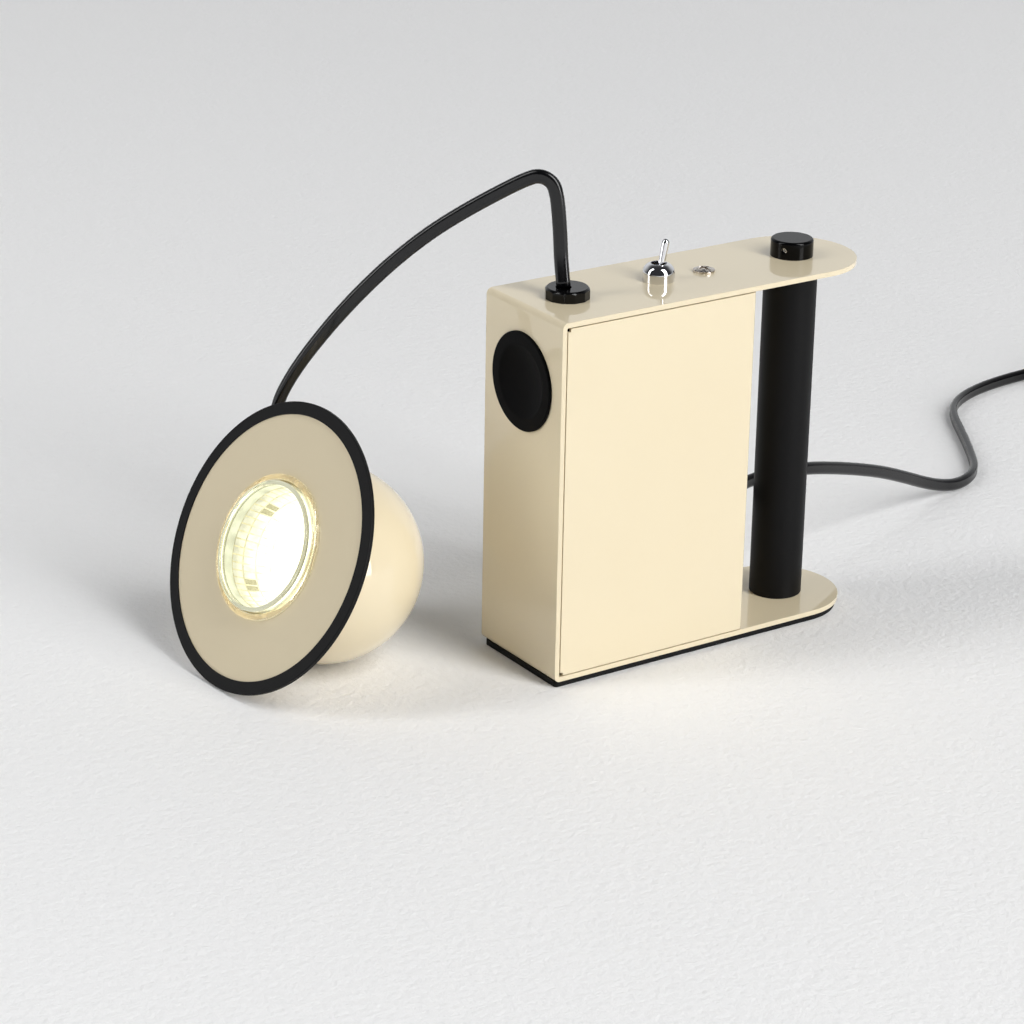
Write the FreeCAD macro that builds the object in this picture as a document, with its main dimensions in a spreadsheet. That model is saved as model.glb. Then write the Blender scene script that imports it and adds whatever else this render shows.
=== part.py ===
import FreeCAD, Part
import math
import os
import re
import Sketcher
from FreeCAD import Placement, Rotation, Vector

# Tabletop searchlight lamp, millimetres.
# +X runs along the body from the front plate to the carrying handle, +Z is up, and the origin is
# the centre of the underside of the rubber base pad. The ball-shaped head lies on the table in
# front of the body, on its rim and its shell, and its lead arches over from the top plate.

doc = FreeCAD.newDocument("searchlight_lamp")
sizes = doc.addObject("Spreadsheet::Sheet", "Sizes")

DRIVING_SIZES = {
    "Folded steel body": {
        "body_length": 148.5,
        "body_width": 50.0,
        "strip_height": 141.2,
        "sheet_thickness": 2.0,
        "bend_radius": 2.4,
    },
    "Rubber pad under the body": {
        "pad_thickness": 2.5,
        "pad_inset": 1.0,
        "pad_hole_margin": 0.5,
        "pad_corner_radius": 1.5,
    },
    "Box cover: two sides and the rear wall in one sheet": {
        "cover_depth": 88.2,
        "cover_sheet": 1.2,
        "cover_gap": 0.4,
        "cover_bend_radius": 2.0,
        "tab_length": 13.0,
        "tab_width": 26.0,
        "tab_screw_inset": 6.65,
        "relief_notch": 1.2,
        "screw_diameter": 4.0,
        "screw_length": 7.0,
        "screw_head_diameter": 8.3,
        "screw_head_edge": 0.9,
        "screw_head_height": 1.7,
        "screw_recess_width": 1.2,
        "screw_recess_length": 4.8,
        "screw_recess_depth": 1.1,
        "low_head_height": 1.5,
    },
    "Carrying handle": {
        "handle_diameter": 20.7,
        "handle_bore": 15.0,
        "handle_plug_length": 12.0,
        "handle_rod_diameter": 6.0,
        "rod_head_diameter": 11.0,
        "rod_head_height": 1.8,
        "cap_diameter": 16.5,
        "cap_height": 6.9,
        "cap_edge_radius": 1.0,
        "cap_bore_depth": 5.0,
        "set_screw_diameter": 2.2,
        "set_screw_height": 3.5,
        "set_screw_turn": 210.0,
        "set_screw_sink": 1.0,
        "set_screw_socket": 1.1,
    },
    "Cord gland on the top plate": {
        "gland_inset": 19.05,
        "gland_nut_diameter": 16.9,
        "gland_nut_height": 4.3,
        "gland_nut_chamfer": 0.9,
        "gland_first_corner": 15.0,
        "gland_split_turn": 229.0,
        "gland_split_radius": 0.45,
        "lead_shift": 1.8,
        "gland_thread_diameter": 12.0,
        "gland_thread_rise": 2.9,
        "gland_flange_diameter": 17.0,
        "gland_flange_thickness": 2.0,
        "gland_nose_length": 9.0,
    },
    "Toggle switch": {
        "toggle_inset": 60.35,
        "dome_diameter": 12.3,
        "dome_skirt": 2.9,
        "dome_shoulder": 3.9,
        "dome_wall": 1.2,
        "dome_base": 3.2,
        "dome_mouth": 6.1,
        "bushing_diameter": 6.3,
        "bushing_bore": 5.5,
        "bushing_rise": 3.2,
        "switch_length": 13.2,
        "switch_width": 8.0,
        "switch_depth": 9.5,
        "switch_recess_depth": 4.2,
        "terminal_width": 2.0,
        "terminal_thickness": 0.8,
        "terminal_length": 4.5,
        "terminal_pitch": 4.7,
        "pivot_depth": 0.5,
        "lever_ball_diameter": 5.0,
        "lever_neck_diameter": 2.4,
        "lever_tip_diameter": 2.9,
        "lever_length": 16.4,
        "lever_tail_diameter": 2.0,
        "lever_tail_length": 3.4,
        "lever_pin_diameter": 1.6,
        "lever_pin_length": 5.3,
        "lever_lean": 10.5,
    },
    "Magnetic seat in the front plate": {
        "seat_height": 114.65,
        "seat_flange_diameter": 37.8,
        "seat_flange_thickness": 1.2,
        "seat_flange_edge": 0.4,
        "seat_neck_diameter": 33.0,
        "seat_mouth_diameter": 29.4,
        "seat_depth": 8.5,
        "ball_clearance": 0.3,
        "magnet_diameter": 20.0,
        "magnet_thickness": 5.0,
        "seat_nut_diameter": 42.0,
        "seat_nut_thickness": 3.0,
    },
    "Mains cord, its bush and its terminal block": {
        "cord_diameter": 5.4,
        "cord_clearance": 0.3,
        "cord_exit_height": 42.0,
        "bush_neck_diameter": 8.0,
        "bush_inner_diameter": 10.5,
        "bush_inner_thickness": 2.0,
        "bush_flange_diameter": 11.0,
        "bush_flange_thickness": 2.0,
        "bush_tip_diameter": 7.8,
        "bush_length": 7.0,
        "block_length": 24.0,
        "block_width": 15.0,
        "block_height": 12.0,
        "block_set_back": 38.0,
        "block_bore": 3.6,
        "block_bore_height": 5.0,
        "block_screw_diameter": 4.0,
        "block_screw_pitch": 8.0,
    },
    "Head: ball shell, disc and rubber rim": {
        "ball_radius": 38.6,
        "shell_sheet": 1.0,
        "disc_front": 27.2,
        "disc_sheet": 1.0,
        "rim_radius": 55.8,
        "rim_wall": 1.2,
        "rim_lip": 0.5,
        "rim_band": 4.95,
        "rim_edge_radius": 0.5,
        "head_ahead": 58.0,
        "head_aside": 47.1,
        "head_yaw": 4.9,
        "lead_entry_polar": 72.0,
        "lead_entry_turn": 42.0,
        "grommet_neck_diameter": 8.0,
        "grommet_flange_diameter": 11.0,
        "grommet_flange_thickness": 1.2,
        "grommet_inner_diameter": 10.0,
        "grommet_inner_thickness": 1.0,
        "grommet_tip_diameter": 7.8,
        "grommet_length": 4.0,
        "grommet_relief": 0.2,
    },
    "Reflector lamp with a two-pin twist base": {
        "lamp_diameter": 50.0,
        "lamp_stand_out": 3.4,
        "lamp_length": 46.5,
        "lamp_rim_height": 3.0,
        "lamp_rim_width": 1.5,
        "lamp_rim_chamfer": 0.5,
        "lamp_rim_step": 0.4,
        "lamp_glass_wall": 1.2,
        "lamp_neck_radius": 12.0,
        "lamp_neck_depth": 32.1,
        "lamp_foot_radius": 11.2,
        "lamp_foot_length": 6.0,
        "lens_thickness": 1.8,
        "lens_crown": 0.6,
        "board_radius": 9.8,
        "board_thickness": 1.6,
        "pin_pitch": 10.0,
        "pin_shank_diameter": 3.0,
        "pin_shank_length": 4.7,
        "pin_head_diameter": 5.0,
        "pin_head_length": 2.6,
        "collar_inner_radius": 25.6,
        "collar_outer_radius": 27.9,
        "collar_straight": 0.8,
    },
    "Lampholder": {
        "holder_radius": 13.5,
        "holder_gap": 0.3,
        "holder_face": 2.6,
        "holder_cavity_inner": 1.9,
        "holder_cavity_outer": 8.0,
        "holder_cavity_depth": 8.0,
        "holder_chamfer": 1.5,
        "slot_clearance": 0.3,
        "slot_turn": 20.0,
        "holder_screw_pitch": 21.0,
        "holder_screw_diameter": 2.6,
        "holder_screw_head_diameter": 4.4,
        "holder_screw_head_height": 1.6,
        "holder_plate_radius": 14.4,
        "holder_plate_thickness": 1.0,
        "holder_plate_clearance": 0.05,
    },
    "Mains plug with two round pins": {
        "plug_thickness": 13.7,
        "plug_width": 34.0,
        "plug_front_length": 10.0,
        "plug_length": 32.0,
        "plug_rear_width": 15.0,
        "plug_edge_radius": 3.0,
        "plug_relief_length": 14.0,
        "plug_relief_front": 4.6,
        "plug_relief_rear": 3.4,
        "plug_pin_diameter": 4.0,
        "plug_pin_length": 19.0,
        "plug_pin_pitch": 18.6,
    },
    "Put-away coil of the mains cord": {
        "coil_inner_radius": 21.9,
        "coil_spacing": 5.85,
        "coil_turns_in": 3.5,
        "coil_turns_out": 3.25,
    },
}

# Sizes that follow from the driving ones, worked out in the sheet itself.
FOLLOWING_SIZES = {
    "plate_top": "=pad_thickness + strip_height",
    "plate_under": "=plate_top - sheet_thickness",
    "floor_top": "=pad_thickness + sheet_thickness",
    "front_x": "=-body_length / 2",
    "handle_x": "=body_length / 2 - body_width / 2",
    "rear_x": "=front_x + cover_depth",
    "screw_x": "=rear_x - tab_screw_inset",
    "gland_x": "=front_x + gland_inset",
    "toggle_x": "=front_x + toggle_inset",
    "cord_bore": "=cord_diameter / 2 + cord_clearance",
    "head_x": "=front_x - head_ahead",
    "rim_front": "=disc_front + rim_lip",
    "rim_back": "=disc_front - disc_sheet - rim_lip",
    "lean_reach": "=rim_radius - rim_edge_radius",
    "lean_rise": "=rim_back + rim_edge_radius",
    "lean_arm": "=sqrt(lean_reach^2 + lean_rise^2)",
    "lean_angle": "=acos((ball_radius - rim_edge_radius) / lean_arm)",
    "head_tilt": "=(lean_angle - atan(lean_rise / lean_reach)) / 1deg",
    "lamp_front": "=disc_front + lamp_stand_out",
    "lamp_foot": "=lamp_front - lamp_length",
    "holder_front": "=lamp_foot - holder_gap",
    "plate_reach": "=holder_plate_radius + holder_plate_clearance",
    "plate_back": "=-sqrt((ball_radius - shell_sheet)^2 - plate_reach^2)",
    "holder_rear": "=plate_back + holder_plate_thickness",
}


def fill_sheet():
    row = 1
    for group, entries in DRIVING_SIZES.items():
        sizes.set("A%d" % row, group)
        row += 1
        for name, number in entries.items():
            sizes.set("A%d" % row, name)
            sizes.set("B%d" % row, str(number))
            sizes.setAlias("B%d" % row, name)
            row += 1
    sizes.set("A%d" % row, "Sizes that follow from the ones above")
    row += 1
    doc.recompute()
    for name, formula in FOLLOWING_SIZES.items():
        sizes.set("A%d" % row, name)
        sizes.set("B%d" % row, formula)
        sizes.setAlias("B%d" % row, name)
        row += 1
    doc.recompute()


fill_sheet()
ALIASES = [name for group in DRIVING_SIZES.values() for name in group] + list(FOLLOWING_SIZES)
ALIAS_PATTERN = re.compile(r"\b(%s)\b" % "|".join(sorted(ALIASES, key=len, reverse=True)))


def sized(text):
    """An expression in plain size names, with each name pointing at its cell."""
    return ALIAS_PATTERN.sub(r"Sizes.\1", str(text))


def number(text):
    result = sizes.evalExpression(sized(text))
    return float(getattr(result, "Value", result))


# Drawing helpers


def new_body(label, place=None):
    body = doc.addObject("PartDesign::Body", "Body_" + label)
    body.Label = label
    if place:
        body.setExpression("Placement", placed(place))
    return body


def placed(place):
    """A placement expression from (x, y, z, yaw, pitch, roll)."""
    x, y, z, yaw, pitch, roll = [sized(part) for part in place]
    vector = "create(<<vector>>; %s; %s; %s)" % (x, y, z)
    rotation = "create(<<rotation>>; %s; %s; %s)" % (yaw, pitch, roll)
    return "create(<<placement>>; %s; %s)" % (vector, rotation)


def new_sketch(body, plane, offset="0", turned=None):
    """A sketch on one of the body's own origin planes, moved along its normal or turned."""
    sketch = body.newObject("Sketcher::SketchObject", body.Label + "_sketch")
    face = [part for part in body.Origin.OriginFeatures if part.Role == plane][0]
    sketch.AttachmentSupport = [(face, "")]
    sketch.MapMode = "FlatFace"
    yaw, pitch = turned if turned else ("0", "0")
    sketch.setExpression("AttachmentOffset", placed(("0", "0", offset, yaw, pitch, "0")))
    return sketch


def fix_coordinate(sketch, direction, item, end, text):
    if text == "0":
        axis = -2 if direction == "DistanceX" else -1
        sketch.addConstraint(Sketcher.Constraint("PointOnObject", item, end, axis))
        return
    spot = Sketcher.Constraint(direction, -1, 1, item, end, number(text))
    index = sketch.addConstraint(spot)
    sketch.setExpression("Constraints[%d]" % index, sized(text))


def draw_outline(sketch, corners):
    """A closed outline. Each corner is (x, y), and (x, y, centre x, centre y, turn) where the
    edge that leaves it is an arc, turning "left" (anticlockwise) or "right"."""
    first = sketch.GeometryCount
    count = len(corners)
    starts = []
    ends = []
    for index, corner in enumerate(corners):
        follower = corners[(index + 1) % count]
        here = Vector(number(corner[0]), number(corner[1]), 0)
        there = Vector(number(follower[0]), number(follower[1]), 0)
        if len(corner) == 2:
            sketch.addGeometry(Part.LineSegment(here, there), False)
            starts.append(1)
            ends.append(2)
            continue
        centre = Vector(number(corner[2]), number(corner[3]), 0)
        left = corner[4] == "left"
        low, high = (here, there) if left else (there, here)
        start_angle = math.atan2(low.y - centre.y, low.x - centre.x)
        end_angle = math.atan2(high.y - centre.y, high.x - centre.x)
        if end_angle <= start_angle:
            end_angle += 2 * math.pi
        circle = Part.Circle(centre, Vector(0, 0, 1), (here - centre).Length)
        sketch.addGeometry(Part.ArcOfCircle(circle, start_angle, end_angle), False)
        starts.append(1 if left else 2)
        ends.append(2 if left else 1)
    for index, corner in enumerate(corners):
        item = first + index
        before = first + (index - 1) % count
        joint = Sketcher.Constraint("Coincident", before, ends[index - 1], item, starts[index])
        sketch.addConstraint(joint)
        fix_coordinate(sketch, "DistanceX", item, starts[index], corner[0])
        fix_coordinate(sketch, "DistanceY", item, starts[index], corner[1])
        if len(corner) == 2:
            continue
        follower = corners[(index + 1) % count]
        run = abs(number(follower[0]) - number(corner[0]))
        rise = abs(number(follower[1]) - number(corner[1]))
        if rise >= run:
            fix_coordinate(sketch, "DistanceX", item, 3, corner[2])
        else:
            fix_coordinate(sketch, "DistanceY", item, 3, corner[3])


def draw_circle(sketch, x, y, radius):
    centre = Vector(number(x), number(y), 0)
    item = sketch.addGeometry(Part.Circle(centre, Vector(0, 0, 1), number(radius)), False)
    fix_coordinate(sketch, "DistanceX", item, 3, x)
    fix_coordinate(sketch, "DistanceY", item, 3, y)
    index = sketch.addConstraint(Sketcher.Constraint("Radius", item, number(radius)))
    sketch.setExpression("Constraints[%d]" % index, sized(radius))


def draw_box(sketch, low_x, low_y, high_x, high_y):
    draw_outline(sketch, [(low_x, low_y), (high_x, low_y), (high_x, high_y), (low_x, high_y)])


def extrude(body, sketch, length, kind="PartDesign::Pad", both_ways=False, backwards=False):
    """A pad or pocket of a sketch. A pocket that takes nothing away stops the build."""
    before = 0.0
    if kind == "PartDesign::Pocket":
        doc.recompute()
        before = body.Shape.Volume
    feature = body.newObject(kind, body.Label + "_" + kind.split("::")[1])
    feature.Profile = sketch
    feature.SideType = "Symmetric" if both_ways else "One side"
    feature.Reversed = backwards
    if length == "through":
        feature.Type = 1
    else:
        feature.setExpression("Length", sized(length))
    if kind == "PartDesign::Pocket":
        doc.recompute()
        if body.Shape.Volume > before - 1e-6:
            raise RuntimeError("a cut in %s takes nothing away" % body.Label)
    return feature


def cut(body, sketch, length, both_ways=False, backwards=False):
    return extrude(body, sketch, length, "PartDesign::Pocket", both_ways, backwards)


def revolve(body, sketch, kind="PartDesign::Revolution"):
    """A full turn about the sketch's own upright axis, which is the body's Z axis."""
    feature = body.newObject(kind, body.Label + "_" + kind.split("::")[1])
    feature.Profile = sketch
    feature.ReferenceAxis = (sketch, ["V_Axis"])
    feature.Angle = 360
    return feature


def turned_part(label, outline, place=None):
    """A body turned from one outline of (radius, height) corners."""
    body = new_body(label, place)
    sketch = new_sketch(body, "XZ_Plane")
    draw_outline(sketch, outline)
    revolve(body, sketch)
    return body


def group(label, bodies):
    """Several like solids kept in one node."""
    compound = doc.addObject("Part::Compound", "Group_" + label)
    compound.Label = label
    compound.Links = bodies
    return compound


def solid_feature(label, shape):
    feature = doc.addObject("Part::Feature", "Solid_" + label)
    feature.Label = label
    feature.Shape = shape
    feature.Placement = Placement()
    return feature


nodes = []

# Folded steel body: one 2 mm strip bent into a C, with the two plates rounded at the handle end


def folded_body():
    body = new_body("folded_body")
    profile = new_sketch(body, "XZ_Plane")
    bend_x = "front_x + bend_radius"
    low_z = "pad_thickness + bend_radius"
    high_z = "plate_top - bend_radius"
    end_x = "body_length / 2"
    inner_x = "front_x + sheet_thickness"
    draw_outline(profile, [
        (end_x, "pad_thickness"),
        (bend_x, "pad_thickness", bend_x, low_z, "right"),
        ("front_x", low_z),
        ("front_x", high_z, bend_x, high_z, "right"),
        (bend_x, "plate_top"),
        (end_x, "plate_top"),
        (end_x, "plate_under"),
        (bend_x, "plate_under", bend_x, high_z, "left"),
        (inner_x, high_z),
        (inner_x, low_z, bend_x, low_z, "left"),
        (bend_x, "floor_top"),
        (end_x, "floor_top"),
    ])
    extrude(body, profile, "body_width", both_ways=True)

    corners = new_sketch(body, "XY_Plane")
    half = "body_width / 2"
    past = "body_width / 2 + sheet_thickness"
    draw_outline(corners, [
        ("handle_x", half, "handle_x", "0", "right"),
        ("handle_x", "-" + half),
        ("handle_x", "-(%s)" % past),
        ("body_length / 2 + sheet_thickness", "-(%s)" % past),
        ("body_length / 2 + sheet_thickness", past),
        ("handle_x", past),
    ])
    cut(body, corners, "through", backwards=True)

    top_holes = new_sketch(body, "XY_Plane", "plate_top")
    draw_circle(top_holes, "gland_x", "0", "gland_thread_diameter / 2")
    draw_circle(top_holes, "toggle_x", "0", "bushing_diameter / 2")
    draw_circle(top_holes, "screw_x", "0", "screw_diameter / 2")
    draw_circle(top_holes, "handle_x", "0", "handle_rod_diameter / 2")
    cut(body, top_holes, "2 * sheet_thickness")

    floor_holes = new_sketch(body, "XY_Plane", "pad_thickness")
    draw_circle(floor_holes, "screw_x", "0", "screw_diameter / 2")
    draw_circle(floor_holes, "handle_x", "0", "handle_rod_diameter / 2")
    cut(body, floor_holes, "2 * sheet_thickness", backwards=True)

    seat_hole = new_sketch(body, "YZ_Plane", "front_x")
    draw_circle(seat_hole, "0", "seat_height", "seat_neck_diameter / 2")
    cut(body, seat_hole, "2 * sheet_thickness", backwards=True)
    return body


nodes.append(folded_body())

# Box cover: the two side panels and the rear wall, one sheet bent twice, with a screw tab under
# the top plate and one on the floor


def box_cover():
    body = new_body("box_cover")
    plan = new_sketch(body, "XY_Plane", "floor_top + cover_gap")
    front = "front_x + sheet_thickness + cover_gap"
    half = "body_width / 2"
    inner = "body_width / 2 - cover_sheet"
    bend_x = "rear_x - cover_bend_radius"
    bend_y = "body_width / 2 - cover_bend_radius"
    inner_x = "rear_x - cover_sheet"
    draw_outline(plan, [
        (front, "-" + half),
        (bend_x, "-" + half, bend_x, "-(%s)" % bend_y, "left"),
        ("rear_x", "-(%s)" % bend_y),
        ("rear_x", bend_y, bend_x, bend_y, "left"),
        (bend_x, half),
        (front, half),
        (front, inner),
        (bend_x, inner, bend_x, bend_y, "right"),
        (inner_x, bend_y),
        (inner_x, "-(%s)" % bend_y, bend_x, "-(%s)" % bend_y, "right"),
        (bend_x, "-(%s)" % inner),
        (front, "-(%s)" % inner),
    ])
    extrude(body, plan, "strip_height - 2 * sheet_thickness - 2 * cover_gap")
    for level, backwards in (("plate_under", True), ("floor_top", False)):
        tab = new_sketch(body, "XY_Plane", level)
        draw_box(tab, "rear_x - tab_length", "-tab_width / 2", "rear_x", "tab_width / 2")
        extrude(body, tab, "cover_sheet", backwards=backwards)
    screw_holes = new_sketch(body, "XY_Plane")
    draw_circle(screw_holes, "screw_x", "0", "screw_diameter / 2")
    cut(body, screw_holes, "through", backwards=True)
    cord_hole = new_sketch(body, "YZ_Plane", "rear_x")
    draw_circle(cord_hole, "0", "cord_exit_height", "bush_neck_diameter / 2")
    cut(body, cord_hole, "2 * cover_sheet")
    notches = new_sketch(body, "XZ_Plane")
    edge = "front_x + sheet_thickness + cover_gap"
    for low, high in (
            ("floor_top + cover_gap", "floor_top + cover_gap + relief_notch"),
            ("plate_under - cover_gap - relief_notch", "plate_under - cover_gap")):
        draw_box(notches, edge, low, edge + " + relief_notch", high)
    cut(body, notches, "body_width + sheet_thickness", both_ways=True)
    return body


nodes.append(box_cover())

# Rubber pad: the outline of the bottom plate drawn in by a small step, with pockets for the
# heads of the handle rod and of the lower cover screw


def base_pad():
    body = new_body("base_pad")
    outline = new_sketch(body, "XY_Plane")
    half = "body_width / 2 - pad_inset"
    front = "front_x + pad_inset"
    corner_x = "front_x + pad_inset + pad_corner_radius"
    corner_y = "body_width / 2 - pad_inset - pad_corner_radius"
    draw_outline(outline, [
        (front, "-(%s)" % corner_y, corner_x, "-(%s)" % corner_y, "left"),
        (corner_x, "-(%s)" % half),
        ("handle_x", "-(%s)" % half, "handle_x", "0", "left"),
        ("handle_x", half),
        (corner_x, half, corner_x, corner_y, "left"),
        (front, corner_y),
    ])
    extrude(body, outline, "pad_thickness")
    pockets = new_sketch(body, "XY_Plane", "pad_thickness")
    draw_circle(pockets, "handle_x", "0", "rod_head_diameter / 2 + pad_hole_margin")
    draw_circle(pockets, "screw_x", "0", "screw_head_diameter / 2 + pad_hole_margin")
    cut(body, pockets, "rod_head_height + pad_hole_margin / 2")
    return body


nodes.append(base_pad())

# Cover screws: a chromed dome head on the top plate and a low head hidden in the pad


def cover_screw():
    crown = "(screw_head_height - screw_head_edge)"
    dome = "((screw_head_diameter / 2)^2 + %s^2) / (2 * %s)" % (crown, crown)
    body = turned_part("cover_screw", [
        ("0", "-screw_length"),
        ("screw_diameter / 2", "-screw_length"),
        ("screw_diameter / 2", "0"),
        ("screw_head_diameter / 2", "0"),
        ("screw_head_diameter / 2", "screw_head_edge", "0", "screw_head_height - " + dome, "left"),
        ("0", "screw_head_height"),
    ], ("screw_x", "0", "plate_top", "0", "0", "0"))
    recess = new_sketch(body, "XY_Plane", "screw_head_height")
    arm = "screw_recess_length / 2"
    side = "screw_recess_width / 2"
    draw_outline(recess, [
        (arm, "-" + side), (arm, side), (side, side), (side, arm), ("-" + side, arm),
        ("-" + side, side), ("-" + arm, side), ("-" + arm, "-" + side), ("-" + side, "-" + side),
        ("-" + side, "-" + arm), (side, "-" + arm), (side, "-" + side),
    ])
    cut(body, recess, "screw_recess_depth")
    return body


nodes.append(cover_screw())
nodes.append(turned_part("floor_screw", [
    ("0", "-low_head_height"),
    ("screw_head_diameter / 2", "-low_head_height"),
    ("screw_head_diameter / 2", "0"),
    ("screw_diameter / 2", "0"),
    ("screw_diameter / 2", "screw_length"),
    ("0", "screw_length"),
], ("screw_x", "0", "pad_thickness", "0", "0", "0")))

# Carrying handle: a black tube clamped between the plates by a long rod, whose head is under
# the bottom plate and whose round cap nut stands on the top plate


def handle_tube():
    body = new_body("handle_tube", ("handle_x", "0", "floor_top", "0", "0", "0"))
    rings = new_sketch(body, "XY_Plane")
    draw_circle(rings, "0", "0", "handle_diameter / 2")
    draw_circle(rings, "0", "0", "handle_bore / 2")
    extrude(body, rings, "plate_under - floor_top")
    return body


def handle_plug(label, level):
    body = new_body(label, ("handle_x", "0", level, "0", "0", "0"))
    rings = new_sketch(body, "XY_Plane")
    draw_circle(rings, "0", "0", "handle_bore / 2")
    draw_circle(rings, "0", "0", "handle_rod_diameter / 2")
    extrude(body, rings, "handle_plug_length")
    return body


def handle_cap():
    rod = "handle_rod_diameter / 2"
    edge = "cap_diameter / 2"
    body = turned_part("handle_cap", [
        (rod, "0"),
        (edge, "0"),
        (edge, "cap_height - cap_edge_radius",
         "cap_diameter / 2 - cap_edge_radius", "cap_height - cap_edge_radius", "left"),
        ("cap_diameter / 2 - cap_edge_radius", "cap_height"),
        ("0", "cap_height"),
        ("0", "cap_bore_depth"),
        (rod, "cap_bore_depth"),
    ], ("handle_x", "0", "plate_top", "set_screw_turn", "0", "0"))
    hole = new_sketch(body, "YZ_Plane", "cap_diameter / 2")
    draw_circle(hole, "0", "set_screw_height", "set_screw_diameter / 2")
    cut(body, hole, "cap_diameter / 2 - handle_rod_diameter / 2")
    return body


def cap_set_screw():
    body = new_body("cap_set_screw", ("handle_x", "0", "plate_top", "set_screw_turn", "0", "0"))
    shank = new_sketch(body, "YZ_Plane", "handle_rod_diameter / 2")
    draw_circle(shank, "0", "set_screw_height", "set_screw_diameter / 2")
    extrude(body, shank, "(cap_diameter - handle_rod_diameter) / 2 - set_screw_sink")
    socket = new_sketch(body, "YZ_Plane", "cap_diameter / 2 - set_screw_sink")
    draw_circle(socket, "0", "set_screw_height", "set_screw_socket / 2")
    cut(body, socket, "set_screw_socket")
    return body


nodes.append(handle_tube())
nodes.append(handle_plug("handle_lower_plug", "floor_top"))
nodes.append(handle_plug("handle_upper_plug", "plate_under - handle_plug_length"))
nodes.append(turned_part("handle_rod", [
    ("0", "pad_thickness - rod_head_height"),
    ("rod_head_diameter / 2", "pad_thickness - rod_head_height"),
    ("rod_head_diameter / 2", "pad_thickness"),
    ("handle_rod_diameter / 2", "pad_thickness"),
    ("handle_rod_diameter / 2", "plate_top + cap_bore_depth"),
    ("0", "plate_top + cap_bore_depth"),
], ("handle_x", "0", "0", "0", "0", "0")))
nodes.append(handle_cap())
nodes.append(cap_set_screw())

# Cord gland: a flanged bush pushed up through the top plate and held by a nut with twelve flats.
# It grips the lead a little off its centre.


def gland_nut():
    body = new_body("gland_nut", ("gland_x", "0", "plate_top", "0", "0", "0"))
    blank = new_sketch(body, "XY_Plane")
    corners = []
    for step in range(12):
        angle = "((gland_first_corner + %d) * 1deg)" % (30 * step)
        corners.append(("gland_nut_diameter / 2 * cos" + angle,
                        "gland_nut_diameter / 2 * sin" + angle))
    draw_outline(blank, corners)
    extrude(body, blank, "gland_nut_height")
    thread = new_sketch(body, "XY_Plane")
    draw_circle(thread, "0", "0", "gland_thread_diameter / 2")
    cut(body, thread, "gland_thread_rise", backwards=True)
    passage = new_sketch(body, "XY_Plane", "gland_nut_height")
    draw_circle(passage, "-lead_shift", "0", "cord_bore")
    cut(body, passage, "gland_nut_height")
    edge = new_sketch(body, "XZ_Plane")
    draw_outline(edge, [
        ("gland_nut_diameter / 2 - gland_nut_chamfer", "gland_nut_height"),
        ("gland_nut_diameter / 2 + gland_nut_chamfer", "gland_nut_height - 2 * gland_nut_chamfer"),
        ("gland_nut_diameter / 2 + gland_nut_chamfer", "gland_nut_height"),
    ])
    revolve(body, edge, "PartDesign::Groove")
    split = new_sketch(body, "XY_Plane", "gland_nut_height")
    draw_circle(split, "gland_nut_diameter / 2 * cos(gland_split_turn * 1deg)",
                "gland_nut_diameter / 2 * sin(gland_split_turn * 1deg)", "gland_split_radius")
    cut(body, split, "gland_nut_height")
    return body


def gland_body():
    thread = "gland_thread_diameter / 2"
    foot = "-gland_nose_length - gland_flange_thickness"
    body = turned_part("gland_body", [
        ("0", foot),
        (thread, foot),
        (thread, "-gland_flange_thickness"),
        ("gland_flange_diameter / 2", "-gland_flange_thickness"),
        ("gland_flange_diameter / 2", "0"),
        (thread, "0"),
        (thread, "sheet_thickness + gland_thread_rise"),
        ("0", "sheet_thickness + gland_thread_rise"),
    ], ("gland_x", "0", "plate_under", "0", "0", "0"))
    passage = new_sketch(body, "XY_Plane", "sheet_thickness + gland_thread_rise")
    draw_circle(passage, "-lead_shift", "0", "cord_bore")
    cut(body, passage, "through")
    return body


nodes.append(gland_nut())
nodes.append(gland_body())

# Toggle switch: a small body under the top plate, a bushing up through it, a chromed dome nut
# with a round mouth, and the lever with its ball and pivot pin in the bushing


def dome_nut():
    outer = "dome_diameter / 2"
    turn_x = "dome_diameter / 2 - dome_shoulder"
    inner = "(dome_shoulder - dome_wall)"
    reach = "(dome_mouth / 2 - dome_diameter / 2 + dome_shoulder)"
    shelf = "%s + sqrt(%s^2 - (dome_base - dome_skirt)^2)" % (turn_x, inner)
    return turned_part("toggle_dome_nut", [
        ("bushing_diameter / 2", "0"),
        (outer, "0"),
        (outer, "dome_skirt", turn_x, "dome_skirt", "left"),
        ("dome_mouth / 2", "dome_skirt + sqrt(dome_shoulder^2 - %s^2)" % reach),
        ("dome_mouth / 2", "dome_skirt + sqrt(%s^2 - %s^2)" % (inner, reach),
         turn_x, "dome_skirt", "right"),
        (shelf, "dome_base"),
        ("bushing_diameter / 2", "dome_base"),
    ], ("toggle_x", "0", "plate_top", "0", "0", "0"))


def toggle_body():
    body = new_body("toggle_body", ("toggle_x", "0", "plate_under", "0", "0", "0"))
    block = new_sketch(body, "XY_Plane")
    draw_box(block, "-switch_length / 2", "-switch_width / 2",
             "switch_length / 2", "switch_width / 2")
    extrude(body, block, "switch_depth", backwards=True)
    recess = new_sketch(body, "XY_Plane")
    draw_circle(recess, "0", "0", "bushing_bore / 2")
    cut(body, recess, "switch_recess_depth")
    return body


def toggle_bushing():
    body = new_body("toggle_bushing", ("toggle_x", "0", "plate_under", "0", "0", "0"))
    rings = new_sketch(body, "XY_Plane")
    draw_circle(rings, "0", "0", "bushing_diameter / 2")
    draw_circle(rings, "0", "0", "bushing_bore / 2")
    extrude(body, rings, "sheet_thickness + bushing_rise")
    return body


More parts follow.
